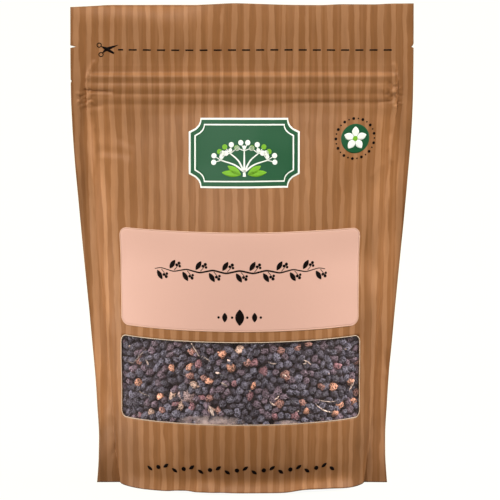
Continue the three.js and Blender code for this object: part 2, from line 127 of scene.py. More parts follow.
# stalk bits: flat place, length, direction in degrees, radius and paleness
STALKS = [(-47.8, 59.6, 10.4, 44, 0.32, 0.72), (-43.5, 57.2, 3.6, -56, 0.36, 1.2),
          (-20.5, 64.6, 7, -55, 0.38, 1), (-16, 61.1, 5, -27, 0.32, 0.8),
          (-45.4, 43.5, 6.6, -18, 0.32, 0.72), (13.4, 59.5, 3.8, -8, 0.36, 1),
          (29.2, 58.8, 4.3, -36, 0.34, 1.15), (13.8, 41.2, 3.2, -39, 0.36, 1.35),
          (15.5, 44.1, 3.4, 42, 0.32, 1.35), (39.5, 41, 9.1, -6, 0.34, 0.95),
          (37.9, 37.6, 9.3, -20, 0.34, 1.35), (52.2, 46.8, 6.3, 61, 0.38, 1.15),
          (-13.8, 37.9, 5.4, -62, 0.75, 1.1), (-7.9, 49.9, 3.6, -39, 0.5, 0.9),
          (-52.8, 56.9, 3.7, -20, 0.3, 0.65), (-10.6, 55, 2.3, -13, 0.5, 1.35),
          (-5.8, 60.6, 1.7, -27, 0.4, 1.35), (19, 53.5, 2.2, -27, 0.4, 1.35),
          (-29.1, 38, 1, 10, 0.35, 1.3), (25.2, 37.4, 0.9, 70, 0.35, 1.3),
          (28, 58.5, 1.6, 15, 0.35, 1.3), (-22.4, 67.4, 1, -60, 0.35, 1.3),
          (48, 63, 1, 20, 0.3, 1.2), (-53, 63.5, 1.1, 60, 0.3, 1.2),
          (3.5, 47, 0.9, -20, 0.3, 1.2), (39.5, 53, 1, 50, 0.3, 1.2)]
# berries that stand out by colour: flat place and number in PALETTE
UNRIPE = [(-47.75, 57.75, 4), (-31.75, 56, 5), (-23.75, 57, 5), (-23.25, 53, 4), (-22.75, 64, 4),
          (-14.75, 51.25, 5), (-21.5, 49, 6), (-49.5, 47.5, 5), (-37.75, 43, 5), (-31.75, 44, 6),
          (-30.75, 40.25, 3), (-27.75, 39.5, 6), (-22.75, 39.25, 3), (-17.75, 43.75, 3),
          (-14.5, 43.5, 4), (-9, 63.25, 5), (-5, 57.5, 5), (5.25, 49.25, 5), (2, 59.75, 4),
          (17.5, 64.25, 4), (25.25, 65.75, 4), (29.75, 67, 4), (9.75, 55.5, 3), (19.75, 53.25, 4),
          (36.5, 47.25, 4), (42.5, 46.75, 5), (52, 48, 5), (56, 56.25, 4), (55.75, 42.5, 4),
          (46.25, 38.25, 5), (43.5, 35, 5), (27.5, 40.75, 4), (29.25, 37.25, 5),
          (14.75, 35.25, 3), (24, 35, 3), (-36.75, 36.75, 4), (-10.75, 38, 4), (-19.5, 58.5, 3),
          (-1, 65.5, 6), (-42.5, 35.25, 6), (-17, 52.5, 4), (54, 38.75, 5), (-14, 38, 6),
          (3.5, 44.75, 3), (44.25, 55.75, 3), (-3.5, 50.25, 3), (-48.75, 33.5, 3)]
STRIP_ROOM = 1.35  # room for the closure's strips inside each panel


# --------------------------------------------------------------------------- mathematics
def monotone(table):
    """Monotone cubic curve through (x, value) pairs: cubic Hermite pieces whose slopes are the
    weighted harmonic means of the neighbouring chords, or zero where the chords change sign."""
    x, y = (np.array(c, float) for c in zip(*table))
    h = np.diff(x)
    d = np.diff(y) / h
    m = np.zeros_like(y)
    m[0], m[-1] = d[0], d[-1]
    w1, w2 = 2 * h[1:] + h[:-1], h[1:] + 2 * h[:-1]
    same = d[:-1] * d[1:] > 0
    safe = np.where(same, d[:-1], 1), np.where(same, d[1:], 1)
    m[1:-1] = np.where(same, (w1 + w2) / (w1 / safe[0] + w2 / safe[1]), 0)

    def curve(q):
        q = np.clip(q, x[0], x[-1])
        i = np.clip(np.searchsorted(x, q, side="right") - 1, 0, len(x) - 2)
        t = (q - x[i]) / h[i]
        return ((2 * t**3 - 3 * t**2 + 1) * y[i] + (t**3 - 2 * t**2 + t) * h[i] * m[i]
                + (3 * t**2 - 2 * t**3) * y[i + 1] + (t**3 - t**2) * h[i] * m[i + 1])
    return curve


half_depth, half_width = monotone(HALF_DEPTH), monotone(HALF_WIDTH)
fullness, seal = monotone(FULLNESS), monotone(SEAL)
top_edge = monotone(TOP_EDGE)


def smooth(a, b, q):
    """Smooth step from 0 at a to 1 at b: 3t^2 - 2t^3."""
    t = np.clip((np.asarray(q, float) - a) / (b - a), 0, 1)
    return t * t * (3 - 2 * t)


def band(q, a, b, c, d):
    """Smooth step up from a to b, and down again from c to d."""
    return smooth(a, b, q) * (1 - smooth(c, d, q))


def bump(q, mid, half, power=4):
    """Rounded hump: exp of minus a power of the distance over the half width."""
    return np.exp(-((q - mid) / half) ** power)


def ripple(u, z, seed, du, dz):
    """Smooth noise from -1 to 1 over a lattice of cells du by dz: random corner values,
    joined by smooth steps."""
    table = np.random.RandomState(seed).uniform(-1, 1, (64, 64))
    p, q = np.asarray(u, float) / du + 1000.5, np.asarray(z, float) / dz + 1000.5
    i, j = np.floor(p).astype(int), np.floor(q).astype(int)
    s, t = smooth(0, 1, p - i), smooth(0, 1, q - j)
    pick = lambda a, b: table[a % 64, b % 64]
    return ((pick(i, j) * (1 - s) + pick(i + 1, j) * s) * (1 - t)
            + (pick(i, j + 1) * (1 - s) + pick(i + 1, j + 1) * s) * t)


def ripples(u, z, seed, parts):
    """Sum of ripples, each given by its height, what its seed adds, and its cell's size."""
    return sum(height * ripple(u, z, seed + k, du, dz) for height, k, du, dz in parts)


def inner_depth(x, z):
    """Depth of a panel's inner face: half the gap plus s(z) * (1 - (x/a)^2) ^ q(z)."""
    a = half_width(z) - seal(z)
    t = np.clip(np.abs(x) / a, 0, 1)
    return CLEAR / 2 + half_depth(z) * (1 - t * t) ** fullness(z)


# Plan position for each height and each fraction of the way along the flat film.
ROWS, STEPS = np.linspace(0, HEIGHT, 429), np.linspace(0, 1, 129)
_x = (half_width(ROWS) - seal(ROWS))[:, None] * np.sin(np.linspace(0, np.pi / 2, 257))[None, :]
_y = inner_depth(_x, ROWS[:, None])
_run = np.concatenate([np.zeros((len(ROWS), 1)),
                       np.cumsum(np.hypot(np.diff(_x), np.diff(_y)), axis=1)], axis=1)
PLAN = np.array([np.interp(STEPS * r[-1], r, x) for r, x in zip(_run, _x)])


def plan_x(u, z):
    """Plan position of flat position u: along the bulge by arc length, then straight on in
    the seal."""
    flat, a, d = WIDTH / 2 - seal(z), half_width(z) - seal(z), np.abs(u)
    fz = np.clip(z, 0, HEIGHT) / HEIGHT * (len(ROWS) - 1)
    fs = np.clip(d / flat, 0, 1) * (len(STEPS) - 1)
    i = np.clip(np.floor(fz).astype(int), 0, len(ROWS) - 2)
    j = np.clip(np.floor(fs).astype(int), 0, len(STEPS) - 2)
    s, t = fz - i, fs - j
    x = ((PLAN[i, j] * (1 - t) + PLAN[i, j + 1] * t) * (1 - s)
         + (PLAN[i + 1, j] * (1 - t) + PLAN[i + 1, j + 1] * t) * s)
    return np.sign(u) * np.where(d < flat, x, a + d - flat)


def seam_height(x):
    """Height of the curved bottom seal: low in the middle, sixth power rise to the sides."""
    d = np.clip(np.abs(x), 0, SEAM["end"])
    return SEAM["skirt"] + (SEAM["rise"] - SEAM["skirt"]) * (d / SEAM["end"]) ** 6


def crackle(count=58, seed=8):
    """Short random wrinkles in both crushed corners, as lines of WRINKLES."""
    rng = np.random.RandomState(seed)
    lines = []
    for k in range(count):
        left = k % 2 == 0
        u, z = (rng.uniform(-72, -64.5), rng.uniform(168.8, 176.5)) if left else (
            rng.uniform(62.5, 70), rng.uniform(168.5, 179))
        turn, reach = rng.uniform(0, math.pi), rng.uniform(0.4, 1.3)
        du, dz = reach * math.cos(turn), reach * math.sin(turn)
        height = rng.choice((-1, 1)) * rng.uniform(0.16, 0.36)
        lines.append((u - du, z - dz, u + du, z + dz, height, 0.42))
    return lines


FOLDS = WRINKLES + CREASES + crackle()


def wrinkles(u, z):
    """Sum of a ridge along each line of FOLDS, height * exp(-(distance / half width)^2), each
    left out beyond three half widths."""
    u, z = np.broadcast_arrays(u, z)
    total = np.zeros(u.shape)
    for u0, z0, u1, z1, height, half in FOLDS:
        near = ((u > min(u0, u1) - 3 * half) & (u < max(u0, u1) + 3 * half)
                & (z > min(z0, z1) - 3 * half) & (z < max(z0, z1) + 3 * half))
        if near.any():
            un, zn, du, dz = u[near], z[near], u1 - u0, z1 - z0
            t = np.clip(((un - u0) * du + (zn - z0) * dz) / (du * du + dz * dz), 0, 1)
            far = np.hypot(un - u0 - t * du, zn - z0 - t * dz)
            total[near] += height * bump(far, 0, half, 2)
    return total


def dents(u, z, side):
    """How far the film stands out from its plain shape: the ribs that the closure presses in
    and the line pinched under them, wrinkles at its ends and down the sides, shoulders beside
    the slack film, gentle waves, and the skirt below the seam. The front has a few more."""
    u, z = np.broadcast_arrays(np.asarray(u, float), np.asarray(z, float))
    w = np.abs(u)
    seed = SEEDS[side]
    ribs = sum(rise * np.sin(np.pi * np.clip((z - low) / (high - low), 0, 1) ** lean) ** 0.8
               for low, high, rise, lean in ZIP_RIBS)
    ribs = ribs * (1 - smooth(62.5, 69, w)) * (0.85 + 0.3 * ripple(u, z, seed, 24, 7))
    pinch = 0.42 * bump(z, 170.8, 0.9, 2) * bump(u, 38, 21)
    crush = wrinkles(-side * u, z) * (1 - smooth(65.5, 67.5, w))
    out = smooth(132, 148, z)
    shoulder = 1.5 * (1 - smooth(0, 1, (w - 59 - 4 * out) / (8.5 - 1.5 * out)))
    shoulder = shoulder * (0.3 + 0.7 * smooth(22, 50, w)) * band(z, 100, 120, 144, 170)
    waves = sum(band(w, *across) * band(z, *up) * ripples(u, z, seed, parts)
                for across, up, *parts in WAVES)
    skirt = 0.22 * smooth(0, 3, seam_height(plan_x(u, z)) - z) * ripple(u, z, seed + 10, 9, 30)
    total = ribs - pinch + crush + shoulder + waves + skirt
    if side < 0:
        total = total + 1.3 * bump(u, -17, 6) * (1 - smooth(1, 8, z))
        flare = (1.4 + 1.7 * smooth(-22, 0, u)) * (1 - smooth(45, 60, w))
        total = total + flare * np.clip(1 - z / 9, 0, 1) ** 2
        total = total + 0.6 * bump(z, 30, 1.9, 2) * bump(u, -67, 4)
        total = total + 1.5 * band(u, 55.5, 64, 64.5, 69) * band(z, 10, 26, 84, 98)
        total = total - 0.5 * bump(u, 63, 4) * bump(z, 100, 22)
        total = total - 1.6 * bump(u, -6, 38) * band(z, 112, 140, 142, 164)
    return total


def bend(u, z):
    """Shared sway of both panels, towards the back, where they're sealed to each other: the
    top band and its curled edge, a groove inside each side seal's edge, the seal's waves and
    its edge turned back lower down, and the wrinkles that run into the seal."""
    w = np.abs(u)
    top = smooth(187, 199, z) * ripples(u, z, 70, [(1.1, 1, 41, 27), (0.35, 2, 13, 15)])
    rise = np.clip((z - 203) / 11, 0, 1)
    curl = 0.5 * rise ** 2 + 2.4 * bump(u, -46, 26) * rise ** 3
    edge = smooth(67.5, 73, w) * ripples(u, z, 70, [(0.7, 3, 60, 19), (0.25, 4, 5, 8)])
    groove = bump(w, np.interp(z, [96, 160], [72.2, 70.2]), 1.6, 2) * band(z, 84, 112, 160, 170)
    tuck = (4.4 + 0.6 * (u > 0)) * smooth(64.5, 76, w) * (1 - smooth(146, 170, z))
    tuck = tuck * (1 - 0.75 * smooth(105, 140, z))
    tuck = tuck + 0.6 * smooth(71, 76, w) * (1 - smooth(70, 95, z))
    crush = wrinkles(u, z) * smooth(65.5, 67.5, w) * (1 - 0.5 * smooth(73, 75, w))
    return (top + curl + edge * smooth(2, 12, z) + 0.45 * groove + tuck * smooth(4, 26, z)
            - crush)


def stripe_place(u, z):
    """Where the printed stripes put a flat place: its plan position plus a limited share
    d / (1 + d/6) of what the bulge takes up, so that they stay nearly upright at the sides."""
    x = plan_x(u, z)
    d = np.maximum(np.abs(u) - np.abs(x), 0)
    return 0.994 * np.sign(u) * (np.abs(x) + d / (1 + d / 6)) - 0.6


def hem(u):
    """How far the front panel's lower edge is drawn up."""
    rise = 0.35 + 1.5 * bump(u, 37, 14) + 0.4 * bump(u, -28, 5) + 0.6 * bump(u, -2, 28)
    return rise * bump(u, 0, 58)


def skin(u, z, side, lift):
    """Point of a panel at flat position (u, z), as an array of (x, y, z) in metres. It stands
    lift outside the inner face along the surface's normal, found from small steps both ways."""
    u, z = np.broadcast_arrays(np.asarray(u, float), np.asarray(z, float))

    def at(p, q):
        x = plan_x(p, q)
        strips = STRIP_ROOM * (1 - smooth(59, 62, np.abs(x))) * band(q, 168, 170, 182.4, 184.2)
        out = np.maximum(inner_depth(x, q) + dents(p, q, side), strips)
        return np.stack([x, side * out + bend(p, q), q], -1)
    e, edge = 0.25, WIDTH / 2
    p = at(u, z)
    across = at(np.minimum(u + e, edge), z) - at(np.maximum(u - e, -edge), z)
    up = at(u, np.minimum(z + e, HEIGHT)) - at(u, np.maximum(z - e, 0))
    n = np.cross(across, up) * -side
    n[..., 2] *= np.clip(np.minimum(z / 6, (HEIGHT - z) / 6), 0, 1)
    n /= np.linalg.norm(n, axis=-1, keepdims=True)
    p = p + n * np.asarray(lift, float)[..., None]
    p[..., 2] += (top_edge(u) - 0.15 - 0.45 * bump(u, -46, 26)) * smooth(200, HEIGHT, z)
    if side < 0:
        p[..., 2] += hem(u) * (1 - smooth(0, 6, z))
    return p * MM


def stops(marks, gap):
    """Values through every mark with no step longer than gap."""
    parts = [np.linspace(a, b, int(math.ceil((b - a) / gap - 1e-6)) + 1)[:-1]
             for a, b in zip(marks[:-1], marks[1:])]
    return np.concatenate(parts + [[marks[-1]]])


# -------------------------------------------------------------------------------- meshes
def new_piece(name, points, faces, finish, slot, uv=None, tint=None, replaces=()):
    """Object at the origin from an array of points and an array of faces, riding on the root
    where it has a slot. uv holds each point's flat coordinates in millimetres, kept in the
    mesh in decimetres, and tint a colour for each point."""
    mesh = bpy.data.meshes.new(name)
    points, faces = np.asarray(points, float).reshape(-1, 3), np.asarray(faces, int)
    mesh.vertices.add(len(points))
    mesh.vertices.foreach_set("co", points.ravel())
    mesh.loops.add(faces.size)
    mesh.loops.foreach_set("vertex_index", faces.ravel())
    mesh.polygons.add(len(faces))
    mesh.polygons.foreach_set("loop_start", np.arange(len(faces)) * faces.shape[1])
    if uv is not None:
        layer = mesh.uv_layers.new(name="flat")
        layer.uv.foreach_set("vector", (uv.reshape(-1, 2) / 100)[faces.ravel()].ravel())
    if tint is not None:
        layer = mesh.color_attributes.new(name="tint", type="FLOAT_COLOR", domain="POINT")
        layer.data.foreach_set("color", np.asarray(tint, float).ravel())
    mesh.update(calc_edges=True)
    mesh.validate()
    mesh.polygons.foreach_set("use_smooth", np.ones(len(mesh.polygons), bool))
    mesh.materials.append(finish)
    obj = bpy.data.objects.new(name, mesh)
    bpy.context.scene.collection.objects.link(obj)
    if slot:
        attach(obj, "root")
    if replaces:
        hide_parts(*replaces)
    return obj


def grid_faces(rows, cols, keep=None, closed=False):
    """Quads of a grid of rows by cols points; keep masks its cells; closed joins the last
    column to the first."""
    i, j = np.meshgrid(np.arange(rows - 1), np.arange(cols if closed else cols - 1),
                       indexing="ij")
    if keep is not None:
        i, j = i[keep], j[keep]
    i, j = i.ravel(), j.ravel()
    k = (j + 1) % cols
    return np.stack([i * cols + j, i * cols + k, (i + 1) * cols + k, (i + 1) * cols + j], -1)


def tube_faces(rows, cols):
    """Triangles of a closed grid, and of the fans from the two points that follow it to its
    first and last row."""
    quads, k = grid_faces(rows, cols, closed=True), np.arange(cols)
    nxt, start, last = (k + 1) % cols, k * 0 + rows * cols, (rows - 1) * cols
    return np.concatenate([quads[:, [0, 1, 2]], quads[:, [0, 2, 3]],
                           np.stack([start, nxt, k], -1),
                           np.stack([start + 1, last + k, last + nxt], -1)])


def compact(faces, *arrays):
    """Drop the points that no face uses."""
    used, inverse = np.unique(faces, return_inverse=True)
    return (inverse.reshape(faces.shape), *(a.reshape(-1, a.shape[-1])[used] for a in arrays))


def wall(obj, thickness, offset):
    """Give a surface its wall with a Solidify modifier."""
    mod = obj.modifiers.new("wall", "SOLIDIFY")
    mod.thickness, mod.offset = thickness * MM, offset
    mod.use_even_offset = False


def square_to_arc(u, z, rect):
    """Move the points of a grid near a rounded rectangle's corners on to its arcs."""
    r = rect["radius"]
    top = np.where(z > (rect["z0"] + rect["z1"]) / 2, 1, -1)
    cu = np.sign(u) * (rect["half_u"] - r)
    cz = np.where(top > 0, rect["z1"] - r, rect["z0"] + r)
    du, dz = (u - cu) * np.sign(u), (z - cz) * top
    inside = (du > 0) & (dz > 0) & (du <= r + 1e-6) & (dz <= r + 1e-6)
    length = np.hypot(du, dz)
    k = np.where(inside & (length > 0), np.maximum(du, dz) / np.maximum(length, 1e-9), 1)
    return cu + (u - cu) * k, cz + (z - cz) * k


def rect_lines(rect):
    """Where a rounded rectangle's sides and arcs start and end, across and up."""
    half, low, high, r = rect["half_u"], rect["z0"], rect["z1"], rect["radius"]
    return [-half, -half + r, half - r, half], [low, low + r, high - r, high]


def window_place(u, z):
    """Flat place of a point of the window's frame: a shift and a slight narrowing upwards near
    the window, none elsewhere."""
    near = (1 - smooth(60, 70, np.abs(u))) * band(z, 20, 29, 71, 80)
    return u + near * (WINDOW_SHIFT - WINDOW_TAPER * (z - WINDOW_MIDDLE) * u), z


def panel_grid(window):
    """Flat coordinates and faces of a panel: lines follow the window, the ribs and the
    notches, and with window the cells inside the window are left out."""
    across, up = rect_lines(WINDOW)
    edge = WIDTH / 2
    us = np.concatenate([stops([-edge, -61, across[0]], 0.55)[:-1], stops(across, 1.0),
                         stops([across[-1], 61, edge], 0.55)[1:]])
    zs = np.concatenate([[0, 0.5], stops([1.0, *up, 120], 1.2), stops([120, 168], 1.0)[1:],
                         stops([168, 186, 190], 0.45)[1:],
                         stops([190, 194.6, 195.2, 195.8, HEIGHT - 1, HEIGHT - 0.5, HEIGHT],
                               0.9)[1:]])
    gu, gz = np.meshgrid((us[1:] + us[:-1]) / 2, (zs[1:] + zs[:-1]) / 2)
    hole = (np.abs(gu) < WINDOW["half_u"]) & (gz > WINDOW["z0"]) & (gz < WINDOW["z1"])
    faces = grid_faces(len(zs), len(us), ~(hole & window))
    return *np.meshgrid(us, zs), faces


def cut_notches(U, Z):
    """Draw the edge columns in to the V of each tear notch."""
    out = U.copy()
    for mid, half, depth, edge in NOTCHES:
        v = depth * np.clip(1 - np.abs(Z - mid) / half, 0, 1)
        out = out - edge * v * np.clip((edge * U - 70) / 5, 0, 1)
    return out


def film_tone(U, Z):
    """Factor on a panel's colour: darker cut edges, painted shade that darkens the lower corners,
    the lower right flank and the upper middle, and painted light that makes the left rim and the
    flanks paler. It is the product of one plus each part."""
    W, inner = np.abs(U), 4.5 * smooth(132, 112, Z)
    off_rim = 1 - smooth(-68, -73, U) * smooth(20, 32, Z)
    painted_flank_light = (smooth(-55, -59, U + inner) * smooth(-71, -66, U)
              + smooth(57, 62, U - inner) * smooth(75, 73, U))
    # after the three darker cut edges, the negative parts are painted shade and the positive parts
    # painted light
    parts = [-0.34 * smooth(74.2, 74.9, W), -0.3 * smooth(0.6, 0, Z),
             -0.3 * smooth(HEIGHT - 0.6, HEIGHT, Z),
             -0.26 * smooth(44, 18, Z) * smooth(-32, -56, U) * off_rim,
             0.2 * smooth(-68.5, -74, U) * bump(Z, 46, 22),
             -0.16 * band(U, 46, 57, 64, 70) * smooth(90, 74, Z),
             -0.1 * smooth(30, 48, U) * smooth(34, 20, Z),
             0.16 * painted_flank_light * smooth(62, 80, Z) * smooth(176, 160, Z),
             -0.08 * smooth(54, 36, W) * smooth(100, 118, Z) * smooth(180, 168, Z)]
    tone = math.prod(1 + part for part in parts)
    return np.stack([tone, tone, tone, np.ones_like(tone)], -1)


# ----------------------------------------------------------------------------- materials
def srgb(r, g, b):
    """Linear colour from screen values of 0 to 255."""
    f = lambda c: c / 12.92 if c <= 0.04045 else ((c + 0.055) / 1.055) ** 2.4
    return f(r / 255), f(g / 255), f(b / 255), 1.0


class Flow:
    """A node's output that takes ordinary arithmetic, each step of it a Math node."""

    def __init__(self, socket):
        self.socket, self.tree = socket, socket.id_data

    def maths(self, operation, other=0.0, clamp=False):
        return node(self.tree, "ShaderNodeMath", {0: self, 1: other}, operation=operation,
                    use_clamp=clamp)

    def __add__(self, other):
        return self.maths("ADD", other)

    def __sub__(self, other):
        return self.maths("SUBTRACT", other)

    def __mul__(self, other):
        return self.maths("MULTIPLY", other)

    def __truediv__(self, other):
        return self.maths("DIVIDE", other)

    def remap(self, low, high, start, end, kind="LINEAR"):
        """From the range low to high to the range start to end, and kept inside it."""
        return node(self.tree, "ShaderNodeMapRange",
                    {0: self, 1: low, 2: high, 3: start, 4: end}, interpolation_type=kind)


def feed(n, inputs):
    """Set a node's inputs, with a link where the value is another node's output."""
    for key, value in inputs.items():
        if isinstance(value, Flow):
            n.id_data.links.new(value.socket, n.inputs[key])
        else:
            n.inputs[key].default_value = value


def node(tree, kind, inputs=None, output=0, **options):
    """New node with its options and inputs; gives one of its outputs."""
    n = tree.nodes.new(kind)
    for key, value in options.items():
        setattr(n, key, value)
    feed(n, inputs or {})
    return Flow(n.outputs[output])


def noise(place, scale, detail=2.0, rough=0.5, output=0):
    return node(place.tree, "ShaderNodeTexNoise", {"Vector": place, "Scale": scale,
                                                   "Detail": detail, "Roughness": rough}, output)


def vector(operation, a, b):
    return node(a.tree, "ShaderNodeVectorMath", {0: a, 1: b}, operation=operation)


def shaded(colour, value):
    """A colour times a value."""
    return vector("MULTIPLY", colour,
                  node(value.tree, "ShaderNodeCombineXYZ", {0: value, 1: value, 2: value}))


def raised(height, strength, distance):
    """Normal of a surface raised by a height."""
    return node(height.tree, "ShaderNodeBump", {"Strength": strength, "Distance": distance,
                                                "Height": height})


def own_place(tree):
    return node(tree, "ShaderNodeTexCoord", output="Object")


def own_tint(tree):
    return node(tree, "ShaderNodeVertexColor", layer_name="tint")


def flat_place(tree):
    """The piece's flat coordinates in decimetres: the pair, across and up."""
    pair = node(tree, "ShaderNodeUVMap", uv_map="flat")
    across = node(tree, "ShaderNodeSeparateXYZ", {0: pair})
    return pair, across, Flow(across.socket.node.outputs[1])


def new_group(name, **defaults):
    """New node group with inputs of those names and defaults, each a number or a colour, and
    the outputs Color and Height."""
    tree = bpy.data.node_groups.new(name, "ShaderNodeTree")
    kinds = {True: "NodeSocketFloat", False: "NodeSocketColor"}
    for label, value in defaults.items():
        tree.interface.new_socket(name=label, in_out="INPUT", socket_type=kinds[
            isinstance(value, float)]).default_value = value
    for label, number in (("Color", False), ("Height", True)):
        tree.interface.new_socket(name=label, in_out="OUTPUT", socket_type=kinds[number])
    given = tree.nodes.new("NodeGroupInput").outputs
    return tree, {k: Flow(given[k]) for k in defaults}, tree.nodes.new("NodeGroupOutput")


def use_group(tree, make, inputs):
    """Colour and height from the group that make builds the first time it is asked for."""
    group = bpy.data.node_groups.get(make.__name__) or make()
    colour = node(tree, "ShaderNodeGroup", inputs, node_tree=group)
    return colour, Flow(colour.socket.node.outputs[1])


def kraft_stripes():
    """Printed kraft stripes: a sine across the film whose phase and width wander with height, with
    a faint fibre grain along it, times the piece's own tint, which on the panels also holds
    painted shade and painted light. Height is the grain."""
    tree, given, out = new_group("kraft_stripes", Light=(0.4, 0.24, 0.13, 1),
                                 Dark=(0.28, 0.13, 0.05, 1), Pitch=5.3, Wander=1.0)
    _, u, z = flat_place(tree)

    def wobble(across, up, offset, detail=2.0, rough=0.5):
        """Noise with so many cells in a decimetre across and up."""
        at = node(tree, "ShaderNodeCombineXYZ", {0: u * across, 1: z * up, 2: offset})
        return noise(at, 1.0, detail, rough)
    shift = ((wobble(6.0, 0.7, 0.0) - 0.5) * 0.55 + (wobble(18.0, 2.6, 4.0) - 0.5) * 0.3
             + (wobble(30.0, 9.0, 8.0) - 0.5) * 0.2) * given["Wander"]
    turns = u * 100.0 / given["Pitch"] + shift
    width = (wobble(19.0, 1.2, 9.0) - 0.5) * 2.6 + (wobble(28.0, 8.0, 12.0) - 0.5) * 1.5
    level = (turns * (2 * math.pi)).maths("SINE") + width * given["Wander"]
    step = level.remap(0.0, 0.5, 0.0, 1.0, "SMOOTHSTEP")
    step = step * wobble(17.0, 1.6, 21.0).remap(0.35, 0.65, 0.72, 1.1)
    step = step.maths("MAXIMUM", wobble(48.0, 1.1, 27.0).remap(0.5, 0.62, 0.0, 0.3))
    mixed = node(tree, "ShaderNodeMix", {0: step, 6: given["Dark"], 7: given["Light"]}, 2,
                 data_type="RGBA")
    fibre = wobble(60.0, 7.0, 2.0, 3.0, 0.6)
    scale = fibre.remap(0.3, 0.7, 0.92, 1.08) * wobble(3.0, 3.0, 6.0).remap(0.3, 0.7, 0.95, 1.05)
    feed(out, {"Color": shaded(mixed, scale * own_tint(tree)), "Height": fibre})
    return tree


def printed_ink():
    """Even printed ink with a slight mottle, read from the piece's own place."""
    tree, given, out = new_group("printed_ink", Ink=(0.5, 0.5, 0.5, 1), Mottle=0.04)
    fine = noise(own_place(tree), 900.0)
    scale = (fine + noise(own_place(tree), 60.0) - 1.0) * given["Mottle"] + 1.0
    feed(out, {"Color": shaded(given["Ink"], scale), "Height": fine})
    return tree


def material(name, make):
    """Material of one Principled shader, whose inputs make(tree) gives the first time."""
    if name not in bpy.data.materials:
        mat = bpy.data.materials.new(name)
        mat.use_nodes = True
        shader = next(n for n in mat.node_tree.nodes if n.type == "BSDF_PRINCIPLED")
        feed(shader, make(mat.node_tree))
    return bpy.data.materials[name]


def kraft_film(tree):
    """Satin film printed with the stripes."""
    props = settings()
    colour, fibre = use_group(tree, kraft_stripes, {
        "Light": (*props.kraft_light, 1), "Dark": (*props.kraft_dark, 1),
        "Pitch": props.stripe_pitch, "Wander": props.stripe_wander})
    return {"Roughness": 0.5, "Specular IOR Level": 0.2, "Base Color": colour,
            "Normal": raised(fibre, 0.06, 0.0002)}


def ink(name, colour, roughness=0.5, mottle=0.04, painted_glow=0.0, gloss=0.2):
    """Material of one printed ink; the glow is the share of its brightness that doesn't depend on
    the light's side: painted light, given off by the ink itself."""
    def make(tree):
        shade, _ = use_group(tree, printed_ink, {"Ink": colour, "Mottle": mottle})
        painted_glow_inputs = {"Emission Color": shade, "Emission Strength": painted_glow} if painted_glow else {}
        return {"Roughness": roughness, "Specular IOR Level": gloss, "Base Color": shade, **painted_glow_inputs}
    return material(name, make)


def dark_ink():
    return ink("dark_ink", srgb(14, 5, 2), 0.6, gloss=0.08)


def clear_film(tree):
    """Clear film: mostly see-through, with faint streaks, and a pale haze where it lifts off the
    berries in ovals low in the window: 1 - (distance / radius)^2. The pale colour in the streaks
    is painted reflection, and in the haze painted reflection with some dust."""
    pair, u, z = flat_place(tree)
    pools = []
    for mid, low, wide, high in REFLECTION_AND_DUST_OVALS:
        du, dz = (u - mid) / wide, (z - low) / high
        pools.append(((du * du + dz * dz) * -1.0).maths("ADD", 1.0, clamp=True))
    streak = noise(pair, 26.0, 4.0, 0.6)
    rough = streak.remap(0.35, 0.75, 0.0, 1.0)
    haze = ((pools[0] + pools[1]) * rough).maths("MULTIPLY", 1.5, clamp=True)
    # more alpha shows the pale film colour: painted reflection in the streaks and haze, with some
    # dust in the haze
    alpha = (haze * 0.95).maths("ADD", rough * 0.03 + settings().film_haze, clamp=True)
    return {"Roughness": 0.16, "Specular IOR Level": 0.7, "Base Color": srgb(206, 180, 172),
            "Alpha": alpha, "Normal": raised(streak, 0.25, 0.0004)}


def dried_skin(tree):
    """Dull wrinkled skin: the berry's own tint, with painted shade in the wrinkles. These are
    cells about 1.2 mm wide, pushed about by noise, with raised rims made pale by a painted
    highlight."""
    place = own_place(tree)
    push = vector("MULTIPLY", noise(place, 500.0, 1.0, output="Color"), (0.0016, 0.0016, 0.0016))
    rims = node(tree, "ShaderNodeTexVoronoi",
                {"Vector": vector("ADD", place, push), "Scale": 820.0}, "Distance",
                feature="DISTANCE_TO_EDGE")
    fine = noise(place, 1700.0, 3.0, 0.6)
    height = rims.remap(0.02, 0.3, 1.0, 0.0, "SMOOTHSTEP") * 0.75 + fine * 0.45
    # the height also scales the tint: painted shade in the wrinkles and a painted highlight on the
    # rims
    return {"Roughness": fine.remap(0.3, 0.7, 0.28, 0.55), "Specular IOR Level": 0.5,
            "Base Color": shaded(own_tint(tree), height.remap(0.15, 0.95, 0.27, 1.6)),
            "Normal": raised(height, 1.0, 0.0006)}


def milky_plastic(tree):
    """Milky plastic of the closure's strips."""
    colour, _ = use_group(tree, printed_ink, {"Ink": srgb(222, 210, 190), "Mottle": 0.06})
    return {"Roughness": 0.35, "Specular IOR Level": 0.5, "Base Color": colour}


def pale_paper(tree):
    """Bright paper of the stage, left out where it is seen from outside or below."""
    grain = noise(own_place(tree), 3.0)
    ramp = node(tree, "ShaderNodeValToRGB", {"Fac": grain})
    for stop, at, level in zip(ramp.socket.node.color_ramp.elements, (0.3, 0.7), (0.085, 0.095)):
        stop.position, stop.color = at, (level, level, 0.03, 1)
    behind = node(tree, "ShaderNodeNewGeometry", output="Backfacing")
    out = next(n for n in tree.nodes if n.type == "OUTPUT_MATERIAL")
    shader = next(n for n in tree.nodes if n.type == "BSDF_PRINCIPLED")
    feed(out, {"Surface": node(tree, "ShaderNodeMixShader", {
        0: behind, 1: Flow(shader.outputs[0]), 2: node(tree, "ShaderNodeBsdfTransparent")})})
    return {"Roughness": 0.9, "Specular IOR Level": 0.0, "Base Color": ramp,
            "Emission Color": (0.96, 0.96, 0.94, 1), "Emission Strength": 1.0}


# ------------------------------------------------------------------------ settings, panel
def colour_setting(name, description, r, g, b):
    return FloatVectorProperty(name=name, description=description, subtype="COLOR", size=3,
                               min=0, max=1, default=srgb(r, g, b)[:3])


def length_setting(name, description, low, high, default):
    return FloatProperty(name=name, description=description, subtype="DISTANCE",
                         unit="LENGTH", min=low, max=high, default=default)


